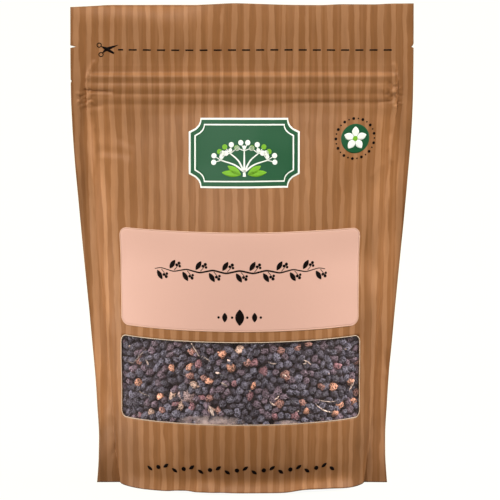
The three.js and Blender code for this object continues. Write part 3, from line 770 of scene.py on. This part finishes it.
class PouchSettings(PropertyGroup):
    """Sizes and colours of the pouch that a user would change."""

    kraft_light: colour_setting("Light stripe", "Printed colour of the light kraft stripes",
                                171, 121, 80)
    kraft_dark: colour_setting("Dark stripe", "Printed colour of the dark kraft stripes",
                               147, 97, 55)
    label_colour: colour_setting("Label", "Printed colour of the product label", 182, 143, 126)
    stripe_pitch: FloatProperty(
        name="Stripe pitch", description="Average distance from stripe to stripe, in millimetres",
        min=2, max=12, default=5.3)
    stripe_wander: FloatProperty(
        name="Stripe wander", description="How unevenly the stripes run", subtype="FACTOR",
        min=0, max=1, default=1.0)
    film_haze: FloatProperty(
        name="Film haze", description="Least opacity of the window film", subtype="FACTOR",
        min=0, max=1, default=0.015)
    panel_wall: length_setting("Film wall", "Thickness of the panels", 0.0001, 0.0005, 0.0003)
    berry_size: length_setting("Berry size", "Average diameter of a dried berry", 0.002, 0.005,
                               0.0036)
    berry_count: IntProperty(
        name="Berry count", description="Loose berries packed behind the window", min=100,
        max=2000, default=960)
    seed: IntProperty(
        name="Seed", description="Seed of the random packing of the berries", min=0, max=999,
        default=5)
    with_marks: BoolProperty(
        name="Printed marks", description="Print the cutting line and the ornaments", default=True)


def settings():
    return bpy.context.scene.window_pouch


# --------------------------------------------------------------------- shapes for the prints
def bar(u0, u1, z0, z1):
    """Straight mark: a rectangle of small cells."""
    return np.stack(np.meshgrid(np.linspace(u0, u1, int(u1 - u0) + 2),
                                np.linspace(z0, z1, int(z1 - z0) + 2)), -1)


def disc(cu, cz, radius, n=7):
    """Filled circle: a square grid (s, t) squeezed to it by x = s sqrt(1 - t^2/2)."""
    s, t = np.meshgrid(np.linspace(-1, 1, n), np.linspace(-1, 1, n))
    return np.stack([cu + radius * s * np.sqrt(1 - t * t / 2),
                     cz + radius * t * np.sqrt(1 - s * s / 2)], -1)


def ring(cu, cz, r0, r1):
    """Flat ring between two radii, closed by its last column."""
    a, r = np.meshgrid(np.linspace(0, 2 * np.pi, 33), np.linspace(r1, r0, 3))
    return np.stack([cu + r * np.cos(a), cz + r * np.sin(a)], -1)


def stroke(path, widths, n=24):
    """Pen stroke: a smooth curve through the path's points, with a half width carried along
    it that follows the widths."""
    path = np.asarray(path, float)
    s = np.linspace(0, 1, n)
    mid = np.stack([monotone(list(zip(np.linspace(0, 1, len(path)), path[:, c])))(s)
                    for c in (0, 1)], -1)
    slope = np.gradient(mid, axis=0)
    slope /= np.maximum(np.linalg.norm(slope, axis=1, keepdims=True), 1e-9)
    side = np.stack([-slope[:, 1], slope[:, 0]], -1)
    half = np.interp(s, np.linspace(0, 1, len(widths)), widths) / 2
    return mid[None] + np.linspace(1, -1, 3)[:, None, None] * (half[:, None] * side)[None]


def leaf(cu, cz, length, width, turn):
    """Pointed leaf: half width follows a sine along its length; turn is in degrees."""
    s, t = np.meshgrid(np.linspace(0.02, 0.98, 11), np.linspace(-1, 1, 5))
    a, b = length * s, width / 2 * np.sin(np.pi * s) ** 0.85 * t
    q = math.radians(turn)
    return np.stack([cu + a * math.cos(q) - b * math.sin(q),
                     cz + a * math.sin(q) + b * math.cos(q)], -1)


def plaque(hu, hz, cut):
    """Rectangle about PLAQUE with hollowed corners: each row's half length shrinks by a
    quarter circle near the top and the bottom."""
    s, t = np.meshgrid(np.linspace(-1, 1, 41), np.sin(np.linspace(-1, 1, 25) * np.pi / 2))
    deep = np.clip(cut - (hz - np.abs(t * hz)), 0, cut)
    return np.stack([s * (hu - np.sqrt(np.clip(cut**2 - (cut - deep)**2, 0, None))),
                     t * hz], -1) + PLAQUE


def rounded_outline(rect, out, n=9):
    """Points of a rounded rectangle's outline moved outwards by out, as a closed loop."""
    (_, _, right, _), (_, low, high, _) = rect_lines(rect)
    r, q = rect["radius"] + out, np.linspace(0, np.pi / 2, n)
    loop = [np.stack([u + r * np.cos(q + k * np.pi / 2), z + r * np.sin(q + k * np.pi / 2)], -1)
            for k, (u, z) in enumerate([(right, high), (-right, high), (-right, low),
                                        (right, low)])]
    loop = np.concatenate(loop + [loop[0][:1]])
    sides = (2 * rect["half_u"], rect["z1"] - rect["z0"]) * 2
    at = np.concatenate([[*(np.arange(n - 1) + k * n),
                          *np.linspace((k + 1) * n - 1, (k + 1) * n, int(side) + 1)[:-1]]
                         for k, side in enumerate(sides)] + [[4 * n]])
    return np.stack([np.interp(at, np.arange(4 * n + 1), loop[:, c]) for c in (0, 1)], -1)


def print_marks(name, shapes, finish, slot="label_paper", lift=0.36, thick=0.03):
    """One piece from flat shapes, each an array of (u, z) on a grid, laid on the front."""
    points, faces, flat, start = [], [], [], 0
    for shape in shapes:
        rows, cols = shape.shape[:2]
        points.append(skin(shape[..., 0], shape[..., 1], -1, lift).reshape(-1, 3))
        flat.append(shape.reshape(-1, 2))
        quads = grid_faces(rows, cols)
        a, b, c = (flat[-1][quads[:, k]] for k in (0, 1, 2))
        turn = np.sum((b - a)[:, 0] * (c - b)[:, 1] - (b - a)[:, 1] * (c - b)[:, 0])
        faces.append((quads if turn > 0 else quads[:, ::-1]) + start)
        start += rows * cols
    obj = new_piece(name, np.concatenate(points), np.concatenate(faces), finish, slot,
                    uv=np.concatenate(flat))
    wall(obj, thick, 1)
    return obj


# ----------------------------------------------------------------------------- operators
class POUCH_OT_panels(Operator):
    """Front and back film panels: the flat film laid over the bulge, with its dents and its
    bend, the window's opening and the tear notches"""
    bl_idname = "pouch.panels"
    bl_label = "Film panels"

    def execute(self, context):
        for name, side, packed in (("front_film", -1, "front_panel"),
                                   ("back_film", 1, "back_panel")):
            U, Z, faces = panel_grid(side < 0)
            u, z = cut_notches(U, Z), Z
            if side < 0:
                u, z = window_place(*square_to_arc(u, z, WINDOW))
            uv = np.stack([stripe_place(u, z) + (0 if side < 0 else BACK_STRIPES), z], -1)
            # the tint darkens the cut edges and holds the panels' painted shade and painted light
            faces, points, uv, tone = compact(faces[:, ::-side], skin(u, z, side, 0.3), uv,
                                              film_tone(U, Z))
            obj = new_piece(name, points, faces, material("striped_kraft", kraft_film),
                            "kraft_film", uv=uv, tint=tone, replaces=(packed,))
            wall(obj, settings().panel_wall / MM, -1)
        return {"FINISHED"}


def floor_height(x, v):
    """Lower face of the gusset: a fold that climbs to the side seals by a cube, and a rise to
    the seam by a square outside the flat middle."""
    d = np.clip(np.abs(x), 0, SEAM["end"])
    fold = (SEAM["rise"] - 1) * (np.clip(d - 24, 0, None) / (SEAM["end"] - 24)) ** 3
    rise = np.clip((np.abs(v) - 0.55) / 0.45, 0, 1)
    return fold + (seam_height(d) - 0.5 - fold) * rise ** 2


class POUCH_OT_gusset(Operator):
    """Bottom gusset: a boat-shaped floor between the panels, with a flange sealed down inside
    each panel"""
    bl_idname = "pouch.gusset"
    bl_label = "Bottom gusset"

    def execute(self, context):
        # v runs from the front flange's foot at -2 over the seams at -1 and 1 to the back's
        X, V = np.meshgrid(stops([-SEAM["end"], -45, 45, SEAM["end"]], 1.0),
                           stops([-2, -1, -0.55, 0.55, 1, 2], 0.06))
        heights = np.linspace(0, SEAM["rise"], 153)
        foot = heights[np.argmax(inner_depth(X[..., None], heights) > 1.7, axis=-1)]
        seam, down = seam_height(X), np.clip(np.abs(V) - 1, 0, 1)
        flange = down > 0
        z = np.where(flange, seam + (foot - seam) * down, floor_height(X, V) + 0.12)
        pucker = 0.3 * ripple(X, V * 25, 51, 3.5, 14)
        pucker = pucker * np.clip(1 - np.abs(np.abs(V) - 0.8) / 0.3, 0, 1)
        reach = inner_depth(X, np.where(flange, z, seam)) - 0.45
        y = np.where(flange, np.sign(V) * reach, V * reach)
        z = np.where(flange, z, z + np.clip(pucker, 0, 1))
        z = np.where(flange & (V < 0), z + (hem(X) + 0.3) * (1 - smooth(0, 5, z)), z)
        obj = new_piece("gusset_film", np.stack([X, y, z], -1) * MM, grid_faces(*X.shape),
                        material("striped_kraft", kraft_film), "kraft_film",
                        uv=np.stack([X, BACK_STRIPES + 40 + V * 30], -1),
                        tint=np.full((X.size, 4), (0.8, 0.8, 0.8, 1)),
                        replaces=("bottom_gusset",))
        wall(obj, 0.2, 0)
        return {"FINISHED"}


class POUCH_OT_window(Operator):
    """Clear window film behind the opening, and the pale cut edge round it"""
    bl_idname = "pouch.window"
    bl_label = "Window film"

    def execute(self, context):
        low, high = WINDOW["z0"], WINDOW["z1"]
        U, Z = np.meshgrid(stops([-58.6, 58.6], 1.2), stops([low - 2, high + 2], 1.0))
        sag = ripples(U, Z, 60, [(0.12, 1, 9, 7), (0.06, 2, 3, 3)])
        points = skin(U, Z, -1, -0.1 + sag * (1 - smooth(54, 57, np.abs(U))))
        obj = new_piece("clear_window", points, grid_faces(*U.shape),
                        material("window_clear", clear_film), "clear_film",
                        uv=np.stack([U, Z], -1), replaces=("window_film",))
        wall(obj, 0.06, -1)
        edge = np.stack([rounded_outline(WINDOW, out) for out in (0.42, 0.22, 0.02)])
        edge = np.stack(window_place(edge[..., 0], edge[..., 1]), -1)
        print_marks("window_edge", [edge], ink("edge_print", srgb(202, 180, 156)),
                    "kraft_film", 0.31)
        return {"FINISHED"}


class POUCH_OT_label(Operator):
    """Product label: a plain peach field with rounded corners, printed on the front"""
    bl_idname = "pouch.label"
    bl_label = "Label"

    def execute(self, context):
        across, up = rect_lines(LABEL)
        field = np.stack(square_to_arc(*np.meshgrid(stops(across, 1.1), stops(up, 0.9)), LABEL),
                         -1)
        # the label glows: painted light that keeps it evenly bright whichever side the lamps light
        peach = ink("label_print", (*settings().label_colour, 1), 0.5, 0.02, 0.6)
        obj = print_marks("peach_label", [field + LABEL_SHIFT], peach, "label_paper", 0.33, 0.05)
        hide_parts("product_label")
        edge = np.stack([rounded_outline(LABEL, out) for out in (0.25, 0.0, -0.25)])
        print_marks("label_edge", [edge + LABEL_SHIFT],
                    ink("label_edge_print", srgb(222, 176, 150)), "label_paper", 0.4)
        return {"FINISHED"}


class POUCH_OT_cut_line(Operator):
    """Cutting line: a row of dashes with a small pair of scissors at its left end"""
    bl_idname = "pouch.cut_line"
    bl_label = "Cutting line"

    def execute(self, context):
        low, high = 193.9 - 0.32, 193.9 + 0.32
        dashes = [bar(-54.2, -54.2 + 2.2, low, high)]
        dashes += [bar(u, u + 3.5, low, high) for u in (-49.5 + 6.19 * k for k in range(19))]
        scissors = [
            ring(-62.4, 195.9, 0.72, 1.12), ring(-61.6, 191.8, 0.72, 1.12),
            stroke([(-61.4, 195.3), (-59.2, 194.2), (-55.9, 192.3)], [0.35, 0.9, 1.5, 1.2, 0.7]),
            stroke([(-60.9, 192.6), (-59.0, 194.1), (-54.1, 196.0)], [0.35, 0.9, 1.5, 1.0, 0.12])]
        print_marks("cut_line", dashes + scissors, dark_ink(), "kraft_film")
        return {"FINISHED"}


class POUCH_OT_plaque(Operator):
    """Plain ornament above the label: a green plaque with a berry umbel in pale ink, and a
    small round flower mark beside it"""
    bl_idname = "pouch.plaque"
    bl_label = "Green ornaments"

    def execute(self, context):
        green = ink("green_ink", srgb(24, 82, 46), 0.45)
        lime = ink("lime_ink", srgb(118, 176, 34), 0.45)
        pale = ink("pale_ink", srgb(244, 246, 232), 0.45)
        for name, size, colour, lift in (("plaque_rim", (24.4, 14.6, 5.2), pale, 0.34),
                                         ("plaque_band", (23.6, 13.8, 4.8), green, 0.38),
                                         ("plaque_line", (21.9, 12.1, 4.2), pale, 0.42),
                                         ("plaque_field", (21.3, 11.5, 3.9), green, 0.46)):
            print_marks(name, [plaque(*size)], colour, lift=lift)
        root = np.array(PLAQUE) - (0, 9.8)
        stems, berries, limes = [stroke([root, root + (0, 2.4)], [1.3, 0.9])], [], []
        fork = root + (0, 1.9)
        for k, q in enumerate(np.radians([-62, -32, 0, 32, 62])):
            knot = fork + (9.6 * math.sin(q) * 1.2, 7.6 * math.cos(q) + 1.3)
            middle = fork + (4.2 * math.sin(q) * 1.2, 4.6 * math.cos(q) + 0.9)
            stems.append(stroke([fork, middle, knot], [0.85, 0.65, 0.5]))
            for j, t in enumerate(np.radians([-75, -26, 26, 75])):
                tip = knot + (3.5 * math.sin(0.6 * q + t), 3.3 * math.cos(0.6 * q + t) + 0.4)
                stems.append(stroke([knot, tip], [0.4, 0.3], n=6))
                (limes if (k + j) % 3 == 2 else berries).append(disc(*tip, 1.12, n=9))
            berries.append(disc(*(knot + (0, 1.4)), 0.8, n=9))
        side_leaves = [leaf(root[0] + s * 1.4, root[1] + 0.8, size, 2.7, 90 - s * turn)
                       for s in (-1, 1) for size, turn in ((8.6, 84), (7.0, 58))]
        print_marks("plaque_stems", stems, pale, lift=0.5)
        print_marks("plaque_berries", berries, pale, lift=0.54)
        print_marks("plaque_green", limes + side_leaves, lime, lift=0.54)

        def about(radius, count, start=0.0):
            """Angles, and places that far from the middle of the round mark."""
            turns = np.arange(count) * 2 * np.pi / count + start
            return [(q, MARK[0] + radius * math.cos(q), MARK[1] + radius * math.sin(q))
                    for q in turns]
        petals = [leaf(u, z, 4.7, 3.1, math.degrees(q)) for q, u, z in about(0.5, 5, np.pi / 2)]
        dots = [disc(u, z, 0.62 if k % 2 else 0.34) for k, (_, u, z) in enumerate(about(8.6, 26))]
        print_marks("mark_disc", [disc(*MARK, 6.3, n=25)], green, lift=0.36)
        print_marks("mark_flower", petals, pale, lift=0.4)
        print_marks("mark_heart", [disc(*MARK, 1.1, n=9)], lime, lift=0.44)
        print_marks("mark_dots", dots, dark_ink(), lift=0.36)
        return {"FINISHED"}


class POUCH_OT_garlands(Operator):
    """Dark printed ornaments on the label and below the window: a leafy garland, a small
    diamond group and a row of leaves and dots"""
    bl_idname = "pouch.garlands"
    bl_label = "Garlands"

    def execute(self, context):
        cz, shapes = 99.4, []
        for k in range(13):
            u, up = -36.4 + 5.92 * k, 1 if k % 2 else -1
            shapes.append(leaf(u - 1.7, cz + up * 0.5, 4.7, 2.1, up * 58))
            path = [(u + 0.4, cz), (u + 1.5, cz + up * 1.3), (u + 2.4, cz + up * 2.6)]
            shapes.append(stroke(path, [0.3, 0.28, 0.25], n=8))
            for du, dz, r in ((1.5, 2.3, 0.62), (2.6, 3.1, 0.7), (2.9, 1.8, 0.58)):
                shapes.append(disc(u + du, cz + up * dz, r))
        s = np.linspace(0, 1, 27)
        wave = np.stack([-39.2 + 76.4 * s, cz + 0.55 * np.sin(s * 13 * np.pi)], -1)
        shapes.append(stroke(wave, [0.3, 0.75, 0.75, 0.3], n=120))
        print_marks("label_garland", shapes, dark_ink(), lift=0.42)
        cz = 79.6
        small = [leaf(u, cz - r * 1.25, r * 2.5, r * 1.35, 90)
                 for u, r in ((-7.5, 1.7), (-1.0, 2.9), (5.5, 1.7))]
        small += [disc(u, cz, 0.55) for u in (-4.3, 2.3, -10.2, 8.2)]
        print_marks("label_diamonds", small, dark_ink(), lift=0.42)
        row = [disc(u, 11.3, 1.0, n=9) if k % 3 == 1
               else leaf(u - 1.5, 11.3, 3.1, 1.5, 38 if k % 3 else -38)
               for k, u in enumerate(-42.5 + 4.02 * np.arange(22))]
        print_marks("lower_row", row, dark_ink(), "kraft_film")
        return {"FINISHED"}


def icosphere():
    """Ball of 42 points and 80 triangles: an icosahedron split once."""
    g = (1 + 5 ** 0.5) / 2
    v = np.array([(-1, g, 0), (1, g, 0), (-1, -g, 0), (1, -g, 0), (0, -1, g), (0, 1, g),
                  (0, -1, -g), (0, 1, -g), (g, 0, -1), (g, 0, 1), (-g, 0, -1), (-g, 0, 1)])
    f = np.array([(0, 11, 5), (0, 5, 1), (0, 1, 7), (0, 7, 10), (0, 10, 11), (1, 5, 9), (5, 11, 4),
                  (11, 10, 2), (10, 7, 6), (7, 1, 8), (3, 9, 4), (3, 4, 2), (3, 2, 6), (3, 6, 8),
                  (3, 8, 9), (4, 9, 5), (2, 4, 11), (6, 2, 10), (8, 6, 7), (9, 8, 1)])
    edges = np.sort(f[:, [0, 1, 1, 2, 2, 0]].reshape(-1, 2), axis=1)
    edges, inverse = np.unique(edges, axis=0, return_inverse=True)
    a, b, c = (inverse.reshape(-1, 3) + len(v)).T
    v = np.concatenate([v, (v[edges[:, 0]] + v[edges[:, 1]]) / 2])
    v /= np.linalg.norm(v, axis=1, keepdims=True)
    split = (f[:, 0], a, c), (f[:, 1], b, a), (f[:, 2], c, b), (a, b, c)
    return v, np.concatenate([np.stack(t, -1) for t in split])


def pack_berries(count, size, seed):
    """Loose packing in flat coordinates (u, z, depth behind the film): random centres pushed
    apart pair by pair, 90 times, by 0.45 of their overlap, and kept behind the film."""
    rng = np.random.RandomState(seed)
    radius = size / 2 * rng.uniform(0.86, 1.16, count)
    low = np.array([-LAYER["half_u"], WINDOW["z0"] - LAYER["over"], 0])
    high = np.array([LAYER["half_u"], WINDOW["z1"] + LAYER["over"], LAYER["deep"]])
    at = rng.uniform(low, high, (count, 3))
    for _ in range(90):
        gap = at[:, None] - at[None]
        dist = np.linalg.norm(gap, axis=2) + np.eye(count) * 99
        over = np.clip((radius[:, None] + radius[None]) * 0.97 - dist, 0, None)
        at += 0.45 * (gap / dist[..., None] * over[..., None]).sum(1)
        at[:, 2] -= 0.05
        at = np.clip(at, low, high)
        at[:, 2] = np.maximum(at[:, 2], radius * 0.96)
    return at, radius


def spins(turn):
    """Rotation matrices from unit quaternions (w, x, y, z)."""
    w, x, y, z = turn.T
    return np.stack([1 - 2 * (y * y + z * z), 2 * (x * y - z * w), 2 * (x * z + y * w),
                     2 * (x * y + z * w), 1 - 2 * (x * x + z * z), 2 * (y * z - x * w),
                     2 * (x * z - y * w), 2 * (y * z + x * w), 1 - 2 * (x * x + y * y)],
                    -1).reshape(-1, 3, 3)


class POUCH_OT_berries(Operator):
    """Filling: wrinkled berries packed loose behind the window, with bits of stalk, over a
    heap that fills the rest of the pouch"""
    bl_idname = "pouch.berries"
    bl_label = "Dried berries"

    def execute(self, context):
        props = settings()
        at, radius = pack_berries(props.berry_count, props.berry_size / MM, props.seed)
        rng = np.random.RandomState(props.seed + 1)
        count = len(at)
        far = lambda u, z: np.hypot(at[:, 0] - u, at[:, 1] - z)
        big = np.argmin(far(*BIG_BERRY) + 50 * (at[:, 2] >= LAYER["front"]))
        radius[big] *= 1.75
        at[big] = *BIG_BERRY, radius[big] * 0.8
        kind = rng.choice(len(SHARES), count, p=SHARES)
        free = np.arange(count) != big
        for u, z, pick in UNRIPE:
            near = np.argmin(far(u, z) + 0.6 * at[:, 2] + 99 * ~free)
            free[near], kind[near] = False, pick
            at[near] = u, z, radius[near] * 0.9

        turn = rng.normal(size=(count, 4))
        turn /= np.linalg.norm(turn, axis=1, keepdims=True)
        squash = np.stack([rng.uniform(1.0, 1.36, count), rng.uniform(0.84, 1.04, count),
                           rng.uniform(0.64, 0.94, count)], -1)
        # each berry has ridges from pole to pole, and random dents
        ball, tris = icosphere()
        lobes, phase = rng.uniform(2.5, 5.0, (count, 1)), rng.uniform(0, 6.28, (count, 1))
        azimuth = np.arctan2(ball[:, 1], ball[:, 0])[None]
        dent = (0.14 * np.sin(np.round(lobes) * azimuth + phase) * (1 - ball[None, :, 2] ** 2)
                + rng.normal(0, 0.12, (count, len(ball))))
        body = ball[None] * (1 + dent)[..., None] * squash[:, None] * radius[:, None, None]
        body = np.einsum("nij,nkj->nki", spins(turn), body)
        place = skin(at[:, 0], at[:, 1], -1, -0.25 - at[:, 2]) / MM
        points = (place[:, None] + body).reshape(-1, 3)
        points[:, 1] = np.maximum(points[:, 1], 0.65 - inner_depth(points[:, 0], points[:, 2]))
        faces = (tris[None] + (np.arange(count) * len(ball))[:, None, None]).reshape(-1, 3)

        tint = np.array([srgb(*colour) for colour in PALETTE])[kind]
        tint[:, :3] *= rng.uniform(0.75, 1.25, (count, 1))
        tint[big] = srgb(*BIG_COLOUR)
        wrinkled = material("dried_skin", dried_skin)
        new_piece("loose_berries", points * MM, faces, wrinkled, "dried_fruit",
                  tint=np.repeat(tint, len(ball), axis=0), replaces=("dried_berries",))
        self.stalks(rng, wrinkled)
        self.heap(wrinkled)
        return {"FINISHED"}

    def stalks(self, rng, wrinkled):
        """Thin bent stalks: a round profile carried along a curve just behind the film."""
        points, faces, tint, start = [], [], [], 0
        s, q = np.linspace(-0.5, 0.5, 9)[:, None], np.linspace(0, 2 * np.pi, 8, endpoint=False)
        for u, z, length, turn, radius, shade in STALKS:
            a = math.radians(turn + rng.uniform(-6, 6))
            sway = rng.uniform(-1, 1) * 0.12 * length * (0.25 - s * s) * 4
            radius = radius * (1 - 0.35 * np.abs(s) * 2) * np.where(np.abs(s) > 0.49, 0.5, 1)
            wide = sway + radius * np.cos(q)
            tube = skin(u + length * s * math.cos(a) - wide * math.sin(a),
                        z + length * s * math.sin(a) + wide * math.cos(a), -1,
                        -0.68 + radius * np.sin(q) - 0.3 * (s * 2) ** 2)
            points += [tube.reshape(-1, 3), [tube[0].mean(0), tube[-1].mean(0)]]
            faces.append(tube_faces(*tube.shape[:2]) + start)
            size = tube[..., 0].size + 2
            colour = srgb(*(shade * np.array(STALK_COLOUR)).clip(0, 255))
            tint.append(np.full((size, 4), colour))
            start += size
        new_piece("stalk_bits", np.concatenate(points), np.concatenate(faces), wrinkled,
                  "dried_fruit", tint=np.concatenate(tint))

    def heap(self, wrinkled):
        """Closed heap: rings of the pouch's own section, set back from the films and lifted
        over the gusset, with a staggered dome for each berry: |cos| across times |cos| up."""
        sides, inner_rings = stops([0, FILL_TOP - 3], 0.9), 24
        level = np.concatenate([sides, np.full(inner_rings, FILL_TOP - 3)])
        inward = np.concatenate([np.ones(len(sides)), np.linspace(0.98, 0.02, inner_rings)])
        T, L = np.meshgrid(np.linspace(0, 2 * np.pi, 260, endpoint=False), level)
        K = np.repeat(inward[:, None], T.shape[1], axis=1)
        x = (half_width(L) - seal(L)) * 0.985 * np.cos(T)
        front = np.where(L > WINDOW["z0"] - 5, HEAP["behind_layer"], HEAP["behind_front"])
        depth = inner_depth(x, L) - np.where(np.sin(T) < 0, front, HEAP["before_back"])
        depth = np.clip(depth, 0.9, None) * np.clip(np.abs(np.sin(T)) * 30, 0, 1)
        y = np.sign(np.sin(T)) * depth
        run = np.cumsum(np.hypot(np.diff(x, axis=1, append=x[:, :1]),
                                 np.diff(y, axis=1, append=y[:, :1])), axis=1)
        across, up = run / HEAP["dome_wide"], L / HEAP["dome_high"]
        stagger = np.pi / 2 * (np.floor(across) % 2)
        dome = np.abs(np.cos(np.pi * across)) * np.abs(np.cos(np.pi * up + stagger))
        lift = HEAP["dome_rise"] * dome * np.clip(K * 3, 0, 1)
        x, y = x * K, y * K + np.sign(y) * lift * 0.9
        z = L + (1 - K) * 7 * (1 + 0.1 * np.sin(3 * T)) + np.where(K < 0.99, lift, 0)
        v = np.clip(np.abs(y) / np.maximum(inner_depth(x, seam_height(x)), 1), 0, 1)
        z = np.maximum(z, floor_height(x, v) + 1.2)
        points = np.concatenate([np.stack([x, y, z], -1).reshape(-1, 3),
                                 [(0, 0, 1.3), (0, 0, FILL_TOP + 4.2)]])
        # the heap's dark colour is painted shade for the gaps behind the loose berries
        new_piece("berry_heap", points * MM, tube_faces(*x.shape), wrinkled, "dried_fruit",
                  tint=np.full((len(points), 4), srgb(*HEAP_SHADE_COLOUR)))


class POUCH_OT_closure(Operator):
    """Press-to-close strips inside the panels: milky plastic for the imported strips"""
    bl_idname = "pouch.closure"
    bl_label = "Closure strips"

    def execute(self, context):
        for name in ("zip_groove_strip", "zip_rib_strip"):
            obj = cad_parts[name]
            obj.data.materials.clear()
            obj.data.materials.append(material("milky_strip", milky_plastic))
        return {"FINISHED"}


class POUCH_OT_stage(Operator):
    """Stage: pale floor that curves up behind, soft lights and the camera"""
    bl_idname = "pouch.stage"
    bl_label = "Stage"

    def execute(self, context):
        scene = context.scene
        scene.view_settings.view_transform = "Standard"
        scene.view_settings.look = "None"
        # bowl: flat to a radius of 2.2 m, then a quarter circle up to a straight rim
        turn = np.linspace(0, np.pi / 2, 12)
        r = np.concatenate([[0.05, 0.5, 1.0, 1.6], 2.2 + np.sin(turn) * 0.8, [3.0, 3.0]])
        h = np.concatenate([np.zeros(4), 0.8 - 0.8 * np.cos(turn), [2.5, 5.0]])
        sides, gap = 64, (0, 0, 0.0002)  # the paper lies this far under the pouch
        around = np.linspace(0, 2 * np.pi, sides, endpoint=False)
        circle = np.stack([np.cos(around), np.sin(around), around * 0], -1)
        rings = r[:, None, None] * circle + h[:, None, None] * (0, 0, 1) - gap
        paper = material("pale_paper", pale_paper)
        bowl = grid_faces(len(r), sides, closed=True)[:, ::-1]
        for obj in (new_piece("paper_bowl", rings, bowl, paper, None),
                    new_piece("paper_hub", 0.051 * circle - gap, np.arange(sides)[None],
                              paper, None)):
            obj.visible_diffuse = obj.visible_glossy = False

        world = bpy.data.worlds.new("studio")
        scene.world = world
        world.use_nodes = True
        feed(world.node_tree.nodes["Background"], {0: (1, 1, 0.99, 1), 1: 0.19})
        aim = Vector((0, 0, 0.1))
        for name, azimuth, elevation, far, wide, high, energy in LIGHTS:
            a, e = math.radians(azimuth), math.radians(elevation)
            place = aim + far * Vector((math.sin(a) * math.cos(e), -math.cos(a) * math.cos(e),
                                        math.sin(e)))
            data = bpy.data.lights.new(name, "AREA")
            data.shape, data.size, data.size_y, data.energy = "RECTANGLE", wide, high, energy
            lamp = bpy.data.objects.new(name, data)
            lamp.location = place
            lamp.rotation_euler = (aim - place).to_track_quat("-Z", "Y").to_euler()
            scene.collection.objects.link(lamp)

        data = bpy.data.cameras.new("camera")
        data.sensor_width, data.lens = 36.0, CAMERA["lens"]
        data.clip_start, data.clip_end = 0.1, 20.0
        tilt, far = math.radians(CAMERA["tilt"]), CAMERA["distance"]
        aim = Vector(CAMERA["aim"]) * MM
        cam = bpy.data.objects.new("camera", data)
        cam.location = aim + far * Vector((0, -math.cos(tilt), math.sin(tilt)))
        cam.rotation_euler = (math.pi / 2 - tilt, 0, 0)
        scene.collection.objects.link(cam)
        scene.camera = cam
        return {"FINISHED"}


class POUCH_PT_panel(Panel):
    """Lists the steps that build the pouch"""
    bl_idname = "POUCH_PT_panel"
    bl_label = "Window Pouch"
    bl_space_type = "VIEW_3D"
    bl_region_type = "UI"
    bl_category = "Pouch"

    def draw(self, context):
        props = settings()
        for key in props.bl_rna.properties.keys():
            if key not in ("rna_type", "name"):
                self.layout.prop(props, key)
        for step in STEPS_IN_ORDER:
            self.layout.operator(step.bl_idname)


PRINTED = (POUCH_OT_cut_line, POUCH_OT_plaque, POUCH_OT_garlands)
STEPS_IN_ORDER = (POUCH_OT_stage, POUCH_OT_panels, POUCH_OT_gusset, POUCH_OT_window,
                  POUCH_OT_label, POUCH_OT_berries, POUCH_OT_closure, *PRINTED)
CLASSES = (PouchSettings, *STEPS_IN_ORDER, POUCH_PT_panel)


def register():
    for cls in CLASSES:
        bpy.utils.register_class(cls)
    bpy.types.Scene.window_pouch = PointerProperty(type=PouchSettings)


def unregister():
    del bpy.types.Scene.window_pouch
    for cls in reversed(CLASSES):
        bpy.utils.unregister_class(cls)


def main():
    register()
    for step in STEPS_IN_ORDER:
        if settings().with_marks or step not in PRINTED:
            getattr(bpy.ops.pouch, step.bl_idname.partition(".")[2])()


if __name__ == "__main__":
    main()
